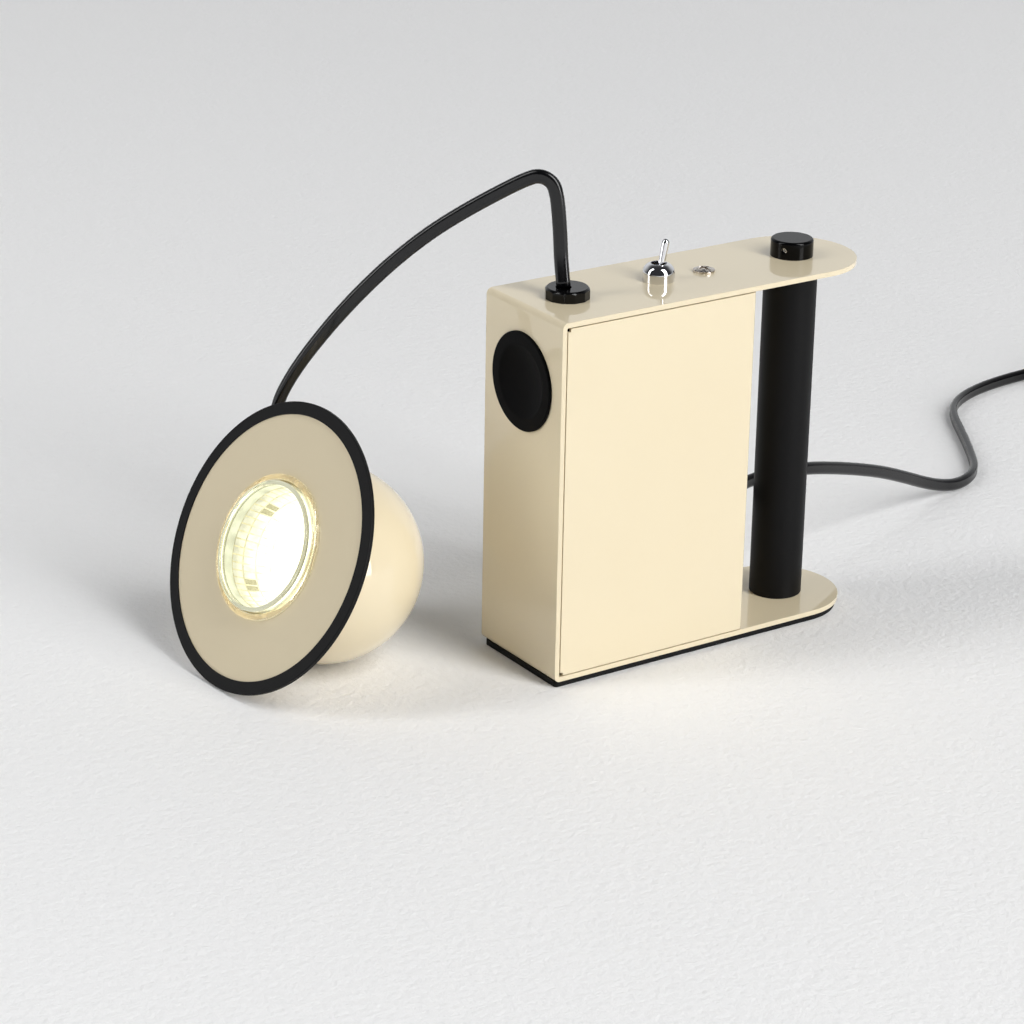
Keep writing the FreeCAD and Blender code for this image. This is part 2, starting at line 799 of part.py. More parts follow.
def toggle_terminals():
    lugs = []
    for step in (-1, 0, 1):
        shift = "toggle_x + %d * terminal_pitch" % step
        lug = new_body("toggle_terminal_%d" % (step + 2),
                       (shift, "0", "plate_under - switch_depth", "0", "0", "0"))
        blade = new_sketch(lug, "XY_Plane")
        draw_box(blade, "-terminal_thickness / 2", "-terminal_width / 2",
                 "terminal_thickness / 2", "terminal_width / 2")
        extrude(lug, blade, "terminal_length", backwards=True)
        lugs.append(lug)
    return group("toggle_terminals", lugs)


def toggle_lever():
    ball = "lever_ball_diameter / 2"
    neck = "lever_neck_diameter / 2"
    tail = "lever_tail_diameter / 2"
    tip = "lever_tip_diameter / 2"
    body = turned_part("toggle_lever", [
        ("0", "-lever_tail_length"),
        (tail, "-lever_tail_length"),
        (tail, "-sqrt((%s)^2 - (%s)^2)" % (ball, tail), "0", "0", "left"),
        (neck, "sqrt((%s)^2 - (%s)^2)" % (ball, neck)),
        (tip, "lever_length - " + tip, "0", "lever_length - " + tip, "left"),
        ("0", "lever_length"),
    ], ("toggle_x", "0", "plate_top - pivot_depth", "0", "lever_lean", "0"))
    pivot = new_sketch(body, "XZ_Plane")
    draw_circle(pivot, "0", "0", "lever_pin_diameter / 2")
    extrude(body, pivot, "lever_pin_length", both_ways=True)
    return body


nodes.append(dome_nut())
nodes.append(toggle_body())
nodes.append(toggle_bushing())
nodes.append(toggle_terminals())
nodes.append(toggle_lever())

# Magnetic seat: a black cup with a dished face that takes the ball of the head, a round magnet
# in its back and a ring nut behind the front plate

SEAT = ("front_x", "0", "seat_height", "0", "-90", "0")


def seat_cup():
    dish = "(ball_radius + ball_clearance)"
    mouth = "seat_mouth_diameter / 2"
    centre = "seat_flange_thickness + sqrt(%s^2 - (%s)^2)" % (dish, mouth)
    flange = "seat_flange_diameter / 2"
    neck = "seat_neck_diameter / 2"
    pocket = "magnet_diameter / 2"
    return turned_part("seat_cup", [
        ("0", "%s - %s" % (centre, dish), "0", centre, "left"),
        (mouth, "seat_flange_thickness"),
        (flange + " - seat_flange_edge", "seat_flange_thickness"),
        (flange, "seat_flange_thickness - seat_flange_edge"),
        (flange, "0"),
        (neck, "0"),
        (neck, "-seat_depth"),
        (pocket, "-seat_depth"),
        (pocket, "-seat_depth + magnet_thickness"),
        ("0", "-seat_depth + magnet_thickness"),
    ], SEAT)


nodes.append(seat_cup())
nodes.append(turned_part("seat_magnet", [
    ("0", "-seat_depth"),
    ("magnet_diameter / 2", "-seat_depth"),
    ("magnet_diameter / 2", "-seat_depth + magnet_thickness"),
    ("0", "-seat_depth + magnet_thickness"),
], SEAT))
nodes.append(turned_part("seat_nut", [
    ("seat_neck_diameter / 2", "-sheet_thickness - seat_nut_thickness"),
    ("seat_nut_diameter / 2", "-sheet_thickness - seat_nut_thickness"),
    ("seat_nut_diameter / 2", "-sheet_thickness"),
    ("seat_neck_diameter / 2", "-sheet_thickness"),
], SEAT))

# Rear bush: a short tapered rubber sleeve snapped into the rear wall for the mains cord

nodes.append(turned_part("cord_bush", [
    ("cord_bore", "-cover_sheet - bush_inner_thickness"),
    ("bush_inner_diameter / 2", "-cover_sheet - bush_inner_thickness"),
    ("bush_inner_diameter / 2", "-cover_sheet"),
    ("bush_neck_diameter / 2", "-cover_sheet"),
    ("bush_neck_diameter / 2", "0"),
    ("bush_flange_diameter / 2", "0"),
    ("bush_flange_diameter / 2", "bush_flange_thickness"),
    ("bush_tip_diameter / 2", "bush_length"),
    ("cord_bore", "bush_length"),
], ("rear_x", "0", "cord_exit_height", "0", "90", "0")))

# Terminal block on the bottom plate, with two through bores and four clamp screws


def terminal_block():
    body = new_body("terminal_block", ("rear_x - block_set_back", "0", "floor_top",
                                       "0", "0", "0"))
    block = new_sketch(body, "XY_Plane")
    draw_box(block, "-block_length / 2", "-block_width / 2", "block_length / 2",
             "block_width / 2")
    extrude(body, block, "block_height")
    bores = new_sketch(body, "YZ_Plane", "block_length / 2")
    for side in ("-", ""):
        draw_circle(bores, side + "block_screw_pitch / 2", "block_bore_height",
                    "block_bore / 2")
    cut(body, bores, "block_length")
    wells = new_sketch(body, "XY_Plane", "block_height")
    for along in ("-", ""):
        for side in ("-", ""):
            draw_circle(wells, along + "block_length / 4", side + "block_screw_pitch / 2",
                        "block_screw_diameter / 2")
    cut(body, wells, "block_height - block_bore_height - block_bore / 2")
    return body


def block_screws():
    screws = []
    for index in range(4):
        along = "-" if index < 2 else ""
        side = "-" if index % 2 else ""
        place = ("rear_x - block_set_back + %sblock_length / 4" % (along or "0 + "),
                 side + "block_screw_pitch / 2",
                 "floor_top + block_bore_height + block_bore / 2", "0", "0", "0")
        screw = new_body("block_screw_%d" % (index + 1), place)
        shank = new_sketch(screw, "XY_Plane")
        draw_circle(shank, "0", "0", "block_screw_diameter / 2")
        extrude(screw, shank, "block_screw_diameter")
        screws.append(screw)
    return group("block_screws", screws)


nodes.append(terminal_block())
nodes.append(block_screws())

# Head: everything here is turned about the lamp's axis, which leans up and slightly aside where
# the head rests on its rim and its ball. Heights are counted from the centre of the ball.

HEAD = ("head_x", "head_aside", "ball_radius", "head_yaw", "head_tilt - 90", "0")


def ball_edge(level, radius="ball_radius"):
    """The ball's own radius at a height above its centre."""
    return "sqrt((%s)^2 - (%s)^2)" % (radius, level)


def head_shell():
    inner = "ball_radius - shell_sheet"
    body = turned_part("head_shell", [
        ("0", "-ball_radius", "0", "0", "left"),
        (ball_edge("disc_front"), "disc_front"),
        (ball_edge("disc_front", inner), "disc_front", "0", "0", "right"),
        ("0", "-(%s)" % inner),
    ], HEAD)
    entry = new_sketch(body, "XY_Plane", "0", ("lead_entry_turn", "lead_entry_polar"))
    draw_circle(entry, "0", "0", "grommet_neck_diameter / 2")
    cut(body, entry, "ball_radius + shell_sheet", backwards=True)
    return body


nodes.append(head_shell())
nodes.append(turned_part("head_disc", [
    (ball_edge("disc_front - disc_sheet"), "disc_front - disc_sheet"),
    ("rim_radius - rim_wall", "disc_front - disc_sheet"),
    ("rim_radius - rim_wall", "disc_front"),
    (ball_edge("disc_front"), "disc_front", "0", "0", "right"),
], HEAD))

rim_bend = "rim_radius - rim_edge_radius"
rim_mouth = "rim_radius - rim_band"
nodes.append(turned_part("rim_ring", [
    (rim_mouth, "disc_front"),
    ("rim_radius - rim_wall", "disc_front"),
    ("rim_radius - rim_wall", "disc_front - disc_sheet"),
    (rim_mouth, "disc_front - disc_sheet"),
    (rim_mouth, "rim_back"),
    (rim_bend, "rim_back", rim_bend, "rim_back + rim_edge_radius", "left"),
    ("rim_radius", "rim_back + rim_edge_radius"),
    ("rim_radius", "rim_front - rim_edge_radius",
     rim_bend, "rim_front - rim_edge_radius", "left"),
    (rim_bend, "rim_front"),
    (rim_mouth, "rim_front"),
], HEAD))

collar_middle = "(collar_inner_radius + collar_outer_radius) / 2"
nodes.append(turned_part("lamp_collar", [
    ("collar_inner_radius", "disc_front"),
    ("collar_outer_radius", "disc_front"),
    ("collar_outer_radius", "disc_front + collar_straight",
     collar_middle, "disc_front + collar_straight", "left"),
    ("collar_inner_radius", "disc_front + collar_straight"),
], HEAD))

# Lead grommet in the shell, turned about its own axis, which points out of the ball

GROMMET_FRAME = "%s * %s" % (
    placed(HEAD), placed(("0", "0", "0", "lead_entry_turn", "lead_entry_polar", "0")))


def lead_grommet():
    seat = ball_edge("grommet_neck_diameter / 2")
    under = ball_edge("grommet_inner_diameter / 2", "ball_radius - shell_sheet")
    tip = "ball_radius + grommet_length"
    body = turned_part("lead_grommet", [
        ("cord_bore", "%s - grommet_inner_thickness" % under),
        ("grommet_inner_diameter / 2", "%s - grommet_inner_thickness" % under),
        ("grommet_inner_diameter / 2", under),
        ("grommet_neck_diameter / 2", under),
        ("grommet_neck_diameter / 2", seat),
        ("grommet_flange_diameter / 2", seat),
        ("grommet_flange_diameter / 2", "%s + grommet_flange_thickness" % seat),
        ("grommet_tip_diameter / 2", tip),
        ("cord_bore", tip),
    ])
    body.setExpression("Placement", GROMMET_FRAME)
    return body


nodes.append(lead_grommet())

# Reflector lamp: glass cup with a thick front rim, front lens, light board, ceramic foot and two
# stepped pins. It twists out of its holder, so it is a moving piece of its own.


def lamp_reflector():
    throat = "(lamp_front - lamp_neck_depth)"
    shoulder = "(lamp_front - lamp_rim_height)"
    wide = "(lamp_diameter / 2 - lamp_rim_step)"
    narrow = "lamp_neck_radius"
    drop = "(lamp_neck_depth - lamp_rim_height)"
    draw_in = "(%s - %s)" % (wide, narrow)
    sweep = "(%s^2 + %s^2) / (2 * %s)" % (draw_in, drop, draw_in)
    seat = "(lamp_front - lens_thickness)"
    return turned_part("lamp_reflector", [
        (narrow, throat, "%s - %s" % (wide, sweep), shoulder, "left"),
        (wide, shoulder),
        ("lamp_diameter / 2", "%s + lamp_rim_step" % shoulder),
        ("lamp_diameter / 2", "lamp_front - lamp_rim_chamfer"),
        ("lamp_diameter / 2 - lamp_rim_chamfer", "lamp_front"),
        ("lamp_diameter / 2 - lamp_rim_width", "lamp_front"),
        ("lamp_diameter / 2 - lamp_rim_width", seat),
        ("%s - lamp_glass_wall" % wide, seat),
        ("%s - lamp_glass_wall" % wide, shoulder,
         "%s - lamp_glass_wall - %s" % (wide, sweep), shoulder, "right"),
        ("%s - lamp_glass_wall" % narrow, throat),
    ], HEAD)


def lamp_pins():
    pins = []
    foot = "-(pin_shank_length + pin_head_length)"
    for index, side in enumerate(("-", "")):
        pin = turned_part("lamp_pin_%d" % (index + 1), [
            ("0", foot),
            ("pin_head_diameter / 2", foot),
            ("pin_head_diameter / 2", "-pin_shank_length"),
            ("pin_shank_diameter / 2", "-pin_shank_length"),
            ("pin_shank_diameter / 2", "0"),
            ("0", "0"),
        ])
        spot = placed((side + "pin_pitch / 2", "0", "lamp_foot", "0", "0", "0"))
        pin.setExpression("Placement", "%s * %s" % (placed(HEAD), spot))
        pins.append(pin)
    return group("lamp_pins", pins)


nodes.append(lamp_reflector())
lens_seat = "lamp_diameter / 2 - lamp_rim_width"
lens_back = "lamp_front - lens_thickness"
lens_edge = "lamp_front - lens_crown"
lens_bow = "((%s)^2 + lens_crown^2) / (2 * lens_crown)" % lens_seat
nodes.append(turned_part("lamp_lens", [
    ("0", lens_back),
    (lens_seat, lens_back),
    (lens_seat, lens_edge, "0", "lamp_front - " + lens_bow, "left"),
    ("0", "lamp_front"),
], HEAD))
nodes.append(turned_part("lamp_board", [
    ("0", "lamp_front - lamp_neck_depth"),
    ("board_radius", "lamp_front - lamp_neck_depth"),
    ("board_radius", "lamp_front - lamp_neck_depth + board_thickness"),
    ("0", "lamp_front - lamp_neck_depth + board_thickness"),
], HEAD))
nodes.append(turned_part("lamp_base", [
    ("0", "lamp_foot"),
    ("lamp_foot_radius", "lamp_foot"),
    ("lamp_foot_radius", "lamp_foot + lamp_foot_length"),
    ("lamp_neck_radius", "lamp_foot + lamp_foot_length + lamp_neck_radius - lamp_foot_radius"),
    ("lamp_neck_radius", "lamp_front - lamp_neck_depth"),
    ("0", "lamp_front - lamp_neck_depth"),
], HEAD))
nodes.append(lamp_pins())

# Lampholder: a ceramic drum with a hollow under its face. Each pin drops through a round hole
# and turns along a curved slot that is too narrow for its head.


def lampholder():
    body = turned_part("lampholder", [
        ("0", "holder_rear"),
        ("holder_radius - holder_chamfer", "holder_rear"),
        ("holder_radius", "holder_rear + holder_chamfer"),
        ("holder_radius", "holder_front"),
        ("0", "holder_front"),
    ], HEAD)
    hollow = new_sketch(body, "XZ_Plane")
    ceiling = "holder_front - holder_face"
    draw_box(hollow, "holder_cavity_inner", ceiling + " - holder_cavity_depth",
             "holder_cavity_outer", ceiling)
    doc.recompute()
    before = body.Shape.Volume
    revolve(body, hollow, "PartDesign::Groove")
    doc.recompute()
    if body.Shape.Volume > before - 1e-6:
        raise RuntimeError("the lampholder's hollow takes nothing away")

    ring = "pin_pitch / 2"
    shank = "(pin_shank_diameter / 2 + slot_clearance)"
    head = "(pin_head_diameter / 2 + slot_clearance)"
    slots = new_sketch(body, "XY_Plane", "holder_front")
    inner = "(%s - %s)" % (ring, shank)
    outer = "(%s + %s)" % (ring, shank)
    for side in ("-", ""):
        draw_outline(slots, [
            (side + inner, "0", side + ring, "0", "left"),
            (side + outer, "0", "0", "0", "left"),
            ("%s%s * cos(slot_turn * 1deg)" % (side, outer),
             "%s%s * sin(slot_turn * 1deg)" % (side, outer)),
            ("%s%s * cos(slot_turn * 1deg)" % (side, inner),
             "%s%s * sin(slot_turn * 1deg)" % (side, inner), "0", "0", "right"),
        ])
    cut(body, slots, "holder_face + slot_clearance")
    entries = new_sketch(body, "XY_Plane", "holder_front")
    for side in ("-", ""):
        draw_circle(entries, "%s%s * cos(slot_turn * 1deg)" % (side, ring),
                    "%s%s * sin(slot_turn * 1deg)" % (side, ring), head)
    cut(body, entries, "holder_face + slot_clearance")
    for radius, depth in (("holder_screw_diameter / 2", "through"),
                          ("holder_screw_head_diameter / 2", "holder_screw_head_height")):
        holes = new_sketch(body, "XY_Plane", "holder_front")
        for side in ("-", ""):
            draw_circle(holes, "0", side + "holder_screw_pitch / 2", radius)
        cut(body, holes, depth)
    return body


def holder_screws():
    screws = []
    head = "holder_screw_head_diameter / 2"
    shank = "holder_screw_diameter / 2"
    for index, side in enumerate(("-", "")):
        screw = turned_part("holder_screw_%d" % (index + 1), [
            ("0", "holder_rear - holder_front"),
            (shank, "holder_rear - holder_front"),
            (shank, "-holder_screw_head_height"),
            (head, "-holder_screw_head_height"),
            (head, "0"),
            ("0", "0"),
        ])
        spot = placed(("0", side + "holder_screw_pitch / 2", "holder_front", "0", "0", "0"))
        screw.setExpression("Placement", "%s * %s" % (placed(HEAD), spot))
        screws.append(screw)
    return group("holder_screws", screws)


nodes.append(lampholder())
nodes.append(holder_screws())
nodes.append(turned_part("holder_plate", [
    ("0", "plate_back"),
    ("holder_plate_radius", "plate_back"),
    ("holder_plate_radius", "holder_rear"),
    ("0", "holder_rear"),
], HEAD))

# Cords. Each is a round tube as wide as the flat twin flex, on straight runs joined by arcs.

CORD_RADIUS = number("cord_diameter") / 2


def arc_through(start, corner, end):
    """The arc that leaves start towards corner and reaches end from it."""
    weight = (end - start).Length / 2 / (corner - start).Length
    middle = (start + corner * (2 * weight) + end) * (1 / (2 + 2 * weight))
    return Part.Arc(start, middle, end)


def rounded_path(points):
    """Straight runs through the points, joined by arcs as large as the runs allow."""
    edges = []
    radii = []
    last = points[0]
    for before, corner, after in zip(points, points[1:], points[2:]):
        coming = (corner - before).normalize()
        going = (after - corner).normalize()
        shorter = min((corner - before).Length, (after - corner).Length)
        setback = 0.45 * shorter
        start = corner - coming * setback
        end = corner + going * setback
        edges.append(Part.LineSegment(last, start).toShape())
        edges.append(arc_through(start, corner, end).toShape())
        radii.append(setback / math.tan(coming.getAngle(going) / 2))
        last = end
    edges.append(Part.LineSegment(last, points[-1]).toShape())
    return Part.Wire(edges), radii


def tube_along(path, label):
    start = path.Edges[0]
    ahead = start.tangentAt(start.FirstParameter)
    ring = Part.Circle(start.valueAt(start.FirstParameter), ahead, CORD_RADIUS)
    shell = Part.BRepOffsetAPI.MakePipeShell(path)
    shell.add(Part.Wire([ring.toShape()]))
    shell.build()
    shell.makeSolid()
    solid = shell.shape()
    expected = math.pi * CORD_RADIUS ** 2 * path.Length
    print("%s: length %.0f mm, volume %.4f of section times length"
          % (label, path.Length, solid.Volume / expected))
    return solid


def cord(label, points):
    path, radii = rounded_path(points)
    print("%s: bend radii %s mm" % (label, " ".join("%.0f" % radius for radius in radii)))
    return solid_feature(label, tube_along(path, label))


# Lamp lead: up out of the gland, folded over tightly, then down in one arc into the ball

gland_top = Vector(number("gland_x - lead_shift"), 0, number("plate_top + gland_nut_height"))
doc.recompute()
grommet_frame = [node for node in nodes if node.Label == "lead_grommet"][0].Placement
grommet_tip = grommet_frame.multVec(Vector(0, 0, number("ball_radius + grommet_length")))
LEAD_ROUTE = [
    (-56.6, 2.5, 156.8),
    (-56.9, 3.0, 166.7),
    (-57.5, 3.4, 175.3),
    (-58.0, 4.0, 181.5),
    (-59.1, 5.1, 186.7),
    (-62.6, 8.7, 189.1),
    (-66.5, 12.9, 186.8),
    (-72.4, 19.1, 181.8),
    (-80.9, 28.0, 174.1),
    (-90.7, 38.3, 164.1),
    (-101.7, 49.8, 150.1),
    (-112.8, 61.5, 132.6),
    (-121.7, 70.8, 116.1),
    (-127.7, 77.1, 103.1),
    (-131.6, 81.2, 91.6),
    (-133.0, 80.8, 81.6),
]
nodes.append(cord("lamp_lead", [gland_top] + [Vector(*spot) for spot in LEAD_ROUTE]
                  + [grommet_tip]))

# Mains cord: out of the rear bush, round the far side of the handle, down on to the table, in an
# S over the table and on to its put-away coil

bush_tip = Vector(number("rear_x + bush_length"), 0, number("cord_exit_height"))
coil_spacing = number("coil_spacing")
coil_inner = number("coil_inner_radius")
coil_outer = coil_inner + number("coil_turns_in") * coil_spacing
COIL_START = Vector(354.0, 149.3, CORD_RADIUS)
MAINS_ROUTE = [
    (27.0, 1.6, 42.1),
    (32.2, 7.2, 42.3),
    (37.4, 14.8, 42.6),
    (46.0, 21.0, 42.9),
    (58.0, 23.6, 43.0),
    (71.0, 24.8, 42.4),
    (86.0, 27.4, 40.0),
    (102.0, 31.4, 35.6),
    (119.0, 36.0, 30.2),
    (136.0, 40.6, 24.2),
    (152.0, 45.2, 17.4),
    (167.0, 49.8, 10.4),
    (180.0, 52.6, 5.2),
    (191.5, 54.2, CORD_RADIUS),
    (202.0, 57.6, CORD_RADIUS),
    (211.4, 64.8, CORD_RADIUS),
    (219.6, 76.0, CORD_RADIUS),
    (229.0, 90.4, CORD_RADIUS),
    (238.0, 105.0, CORD_RADIUS),
    (246.4, 119.0, CORD_RADIUS),
    (254.6, 129.6, CORD_RADIUS),
    (265.0, 137.4, CORD_RADIUS),
    (279.0, 143.4, CORD_RADIUS),
    (298.0, 147.6, CORD_RADIUS),
    (324.0, 149.4, CORD_RADIUS),
]
nodes.append(cord("mains_cord", [bush_tip] + [Vector(*spot) for spot in MAINS_ROUTE]
                  + [COIL_START]))

# Coil: spirals in on the table, climbs a layer in the half turn where it reverses, and spirals
# out again on top. Quarter turns are pairs of arcs that share a tangent.


def coil_path():
    turns_in = number("coil_turns_in")
    turns_out = number("coil_turns_out")
    centre = COIL_START - Vector(0, coil_outer, 0)
    quarters = round((turns_in + 0.5 + turns_out) * 4)
    ring_rate = coil_spacing / (2 * math.pi)
    spots = []
    tangents = []
    for quarter in range(quarters + 1):
        turn = quarter / 4
        radius = coil_inner + (turns_in - turn) * coil_spacing
        lift = 0.0
        inward = -ring_rate
        climb = 0.0
        if turn > turns_in:
            lift = coil_spacing
            inward = ring_rate
            radius = coil_inner + (turn - turns_in - 0.5) * coil_spacing
        if abs(turn - turns_in - 0.25) < 0.01:
            lift = coil_spacing / 2
            inward = 0.0
            climb = 1.5 * coil_spacing / math.pi
        angle = math.pi / 2 - turn * 2 * math.pi
        outward = Vector(math.cos(angle), math.sin(angle), 0)
        onward = Vector(math.sin(angle), -math.cos(angle), 0)
        spots.append(centre + outward * radius + Vector(0, 0, lift))
        along = onward * radius + outward * inward + Vector(0, 0, climb)
        if quarter in (0, quarters):
            along = onward
        tangents.append(along.normalize())
    edges = []
    for spot, after, heading, arriving in zip(spots, spots[1:], tangents, tangents[1:]):
        both = heading + arriving
        span = after - spot
        square = both.dot(both) - 4
        reach = (span.dot(both) - math.sqrt(span.dot(both) ** 2 - square * span.dot(span))) / square
        first_corner = spot + heading * reach
        second_corner = after - arriving * reach
        meeting = (first_corner + second_corner) * 0.5
        edges.append(arc_through(spot, first_corner, meeting).toShape())
        edges.append(arc_through(meeting, second_corner, after).toShape())
    lead_out = spots[-1] + tangents[-1] * (2 * CORD_RADIUS)
    edges.append(Part.LineSegment(spots[-1], lead_out).toShape())
    return Part.Wire(edges), lead_out


def own_gap(path):
    """The least gap between one stretch of the cord and another, from points along it."""
    step = CORD_RADIUS
    count = int(path.Length / step)
    points = path.discretize(Number=count)
    apart = int(12 * CORD_RADIUS / step)
    least = min((points[low] - points[high]).Length
                for low in range(count) for high in range(low + apart, count))
    return least - 2 * CORD_RADIUS


coil_wire, coil_end = coil_path()
print("mains_coil: least gap to itself %.2f mm" % own_gap(coil_wire))
nodes.append(solid_feature("mains_coil", tube_along(coil_wire, "mains_coil")))

# Tail of the cord and the plug beside the coil

PLUG_ENTRY = Vector(392.3, 65.0, number("plug_thickness") / 2)
TAIL_ROUTE = [
    (397.3, 92.0, 8.3),
    (395.9, 83.5, 7.6),
    (393.1, 74.5, 7.0),
]
nodes.append(cord("mains_tail", [coil_end] + [Vector(*spot) for spot in TAIL_ROUTE]
                  + [PLUG_ENTRY]))

PLUG = (str(PLUG_ENTRY.x), str(PLUG_ENTRY.y), "plug_thickness / 2", "-90", "0", "0")


def mains_plug():
    body = new_body("mains_plug", PLUG)
    plan = new_sketch(body, "XY_Plane")
    rear = "plug_relief_length"
    shoulder = "plug_relief_length + plug_length - plug_front_length"
    front = "plug_relief_length + plug_length"
    draw_outline(plan, [
        (rear, "-plug_rear_width / 2"),
        (shoulder, "-plug_width / 2"),
        (front, "-plug_width / 2"),
        (front, "plug_width / 2"),
        (shoulder, "plug_width / 2"),
        (rear, "plug_rear_width / 2"),
    ])
    block = extrude(body, plan, "plug_thickness", both_ways=True)
    doc.recompute()
    long_edges = []
    for index, edge in enumerate(block.Shape.Edges):
        middle = edge.valueAt((edge.FirstParameter + edge.LastParameter) / 2)
        if middle.x < number(front) - 0.01:
            long_edges.append("Edge%d" % (index + 1))
    rounded = body.newObject("PartDesign::Fillet", "plug_rounding")
    rounded.Base = (block, long_edges)
    rounded.setExpression("Radius", "Sizes.plug_edge_radius")
    relief = new_sketch(body, "XY_Plane")
    draw_outline(relief, [
        ("0", "0"),
        ("0", "plug_relief_rear"),
        (rear + " + plug_edge_radius", "plug_relief_front"),
        (rear + " + plug_edge_radius", "0"),
    ])
    sleeve = body.newObject("PartDesign::Revolution", "plug_relief")
    sleeve.Profile = relief
    sleeve.ReferenceAxis = (relief, ["H_Axis"])
    sleeve.Angle = 360
    return body


def plug_pins():
    pins = []
    for index, side in enumerate(("-", "")):
        pin = new_body("plug_pin_%d" % (index + 1), PLUG)
        ring = new_sketch(pin, "YZ_Plane", "plug_relief_length + plug_length")
        draw_circle(ring, side + "plug_pin_pitch / 2", "0", "plug_pin_diameter / 2")
        extrude(pin, ring, "plug_pin_length")
        pins.append(pin)
    return group("plug_pins", pins)


nodes.append(mains_plug())
nodes.append(plug_pins())

# Check every object, then write one file for each node

doc.recompute()
for item in doc.Objects:
    faults = [state for state in item.State if state in ("Invalid", "Error")]
    if faults:
        raise RuntimeError("%s (%s) did not compute: %s" % (item.Label, item.Name, faults))

os.makedirs("parts", exist_ok=True)
for node in nodes:
    shape = node.Shape
    if shape.isNull() or not shape.isValid() or not shape.Solids:
        raise RuntimeError("%s has no sound solid" % node.Label)
    shape.exportStep(os.path.join("parts", node.Label + ".step"))
    box = shape.BoundBox
    print("%-20s %d solid %8.0f mm3  z %.1f to %.1f"
          % (node.Label, len(shape.Solids), shape.Volume, box.ZMin, box.ZMax))
print("head tilt %.2f degrees, %d nodes" % (number("head_tilt"), len(nodes)))
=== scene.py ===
import math

import bmesh
import bpy
from mathutils import Matrix, Vector


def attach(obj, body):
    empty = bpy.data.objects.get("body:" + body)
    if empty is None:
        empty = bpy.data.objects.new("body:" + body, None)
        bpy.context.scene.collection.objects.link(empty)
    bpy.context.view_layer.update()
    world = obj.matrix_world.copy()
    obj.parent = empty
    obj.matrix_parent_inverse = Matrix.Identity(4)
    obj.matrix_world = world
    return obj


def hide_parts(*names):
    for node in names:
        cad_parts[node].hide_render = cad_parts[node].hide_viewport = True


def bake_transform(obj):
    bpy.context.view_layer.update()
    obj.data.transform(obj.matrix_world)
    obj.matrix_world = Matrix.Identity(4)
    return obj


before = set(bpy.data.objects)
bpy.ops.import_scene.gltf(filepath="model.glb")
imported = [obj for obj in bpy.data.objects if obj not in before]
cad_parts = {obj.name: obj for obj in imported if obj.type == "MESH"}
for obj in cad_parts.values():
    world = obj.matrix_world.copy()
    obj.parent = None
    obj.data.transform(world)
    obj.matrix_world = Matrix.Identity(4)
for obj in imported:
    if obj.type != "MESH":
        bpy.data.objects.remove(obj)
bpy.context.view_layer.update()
scene = bpy.context.scene

# Camera
# A long lens stands to the front left and looks down at the lamp by about 21 degrees, as in the
# photograph.

camera = bpy.data.objects.new("camera", bpy.data.cameras.new("camera"))
right = Vector((0.83152, -0.55524, 0.01699))
up = Vector((0.19137, 0.31503, 0.92959))
camera.matrix_world = Matrix((right, up, right.cross(up))).transposed().to_4x4()
camera.location = (-0.716851, -0.942965, 0.514814)
camera.data.lens = 115.74
camera.data.clip_start = 0.05
scene.collection.objects.link(camera)
scene.camera = camera

# Lamp lead
# A flat twin flex with a smooth black PVC jacket, 5.4 by 3.4 mm, grooved between its two cores.
# It leaves the gland upright, folds over tightly and falls in one arc to the grommet in the ball,
# turning edge-on as it goes.


def linear(hex_colour):
    """An sRGB hex colour as the linear values that a shader takes."""
    channels = [int(hex_colour[k:k + 2], 16) / 255 for k in (1, 3, 5)]
    return [c / 12.92 if c <= 0.04045 else ((c + 0.055) / 1.055) ** 2.4 for c in channels] + [1.0]


def new_material(name):
    material = bpy.data.materials.new(name)
    material.use_nodes = True
    material.node_tree.nodes.clear()
    return material


def add_node(material, kind, inputs=(), **settings):
    """Adds one shader node with its settings. An input is a plain value or another's output."""
    node = material.node_tree.nodes.new(kind)
    for name, value in settings.items():
        setattr(node, name, value)
    for socket, value in dict(inputs).items():
        if isinstance(value, bpy.types.NodeSocket):
            material.node_tree.links.new(value, node.inputs[socket])
        else:
            node.inputs[socket].default_value = value
    return node


# Soft PVC, extruded: a glossy jacket whose sheen is faintly uneven, about 2 mm apart.
cord_jacket = new_material("extruded black PVC")
where = add_node(cord_jacket, "ShaderNodeTexCoord")
ripple = add_node(cord_jacket, "ShaderNodeTexNoise",
                  {"Vector": where.outputs["Object"], "Scale": 500.0, "Detail": 2.0})
sheen = add_node(cord_jacket, "ShaderNodeMapRange",
                 {"Value": ripple.outputs["Fac"], "To Min": 0.16, "To Max": 0.28})
relief = add_node(cord_jacket, "ShaderNodeBump",
                  {"Height": ripple.outputs["Fac"], "Strength": 0.15, "Distance": 0.0001})
jacket = add_node(cord_jacket, "ShaderNodeBsdfPrincipled",
                  {"Base Color": linear("#08080a"), "Roughness": sheen.outputs["Result"],
                   "IOR": 1.5, "Specular IOR Level": 0.5, "Normal": relief.outputs["Normal"]})
add_node(cord_jacket, "ShaderNodeOutputMaterial", {"Surface": jacket.outputs["BSDF"]})


def cord_line(name, route):
    """A smooth line through the route in millimetres, as a list of points in metres."""
    curve = bpy.data.curves.new(name, "CURVE")
    curve.dimensions = "3D"
    curve.resolution_u = 8
    spline = curve.splines.new("NURBS")
    spline.points.add(len(route) - 1)
    for point, spot in zip(spline.points, route):
        point.co = (spot[0] / 1000, spot[1] / 1000, spot[2] / 1000, 1)
    spline.order_u = 3
    spline.use_endpoint_u = True
    holder = bpy.data.objects.new(name, curve)
    line = bpy.data.meshes.new_from_object(holder)
    points = [vertex.co.copy() for vertex in line.vertices]
    bpy.data.objects.remove(holder)
    return [spot for spot, after in zip(points, points[1:]) if (after - spot).length > 1e-6] + [
        points[-1]]


def line_length(points):
    return sum((after - spot).length for spot, after in zip(points, points[1:]))


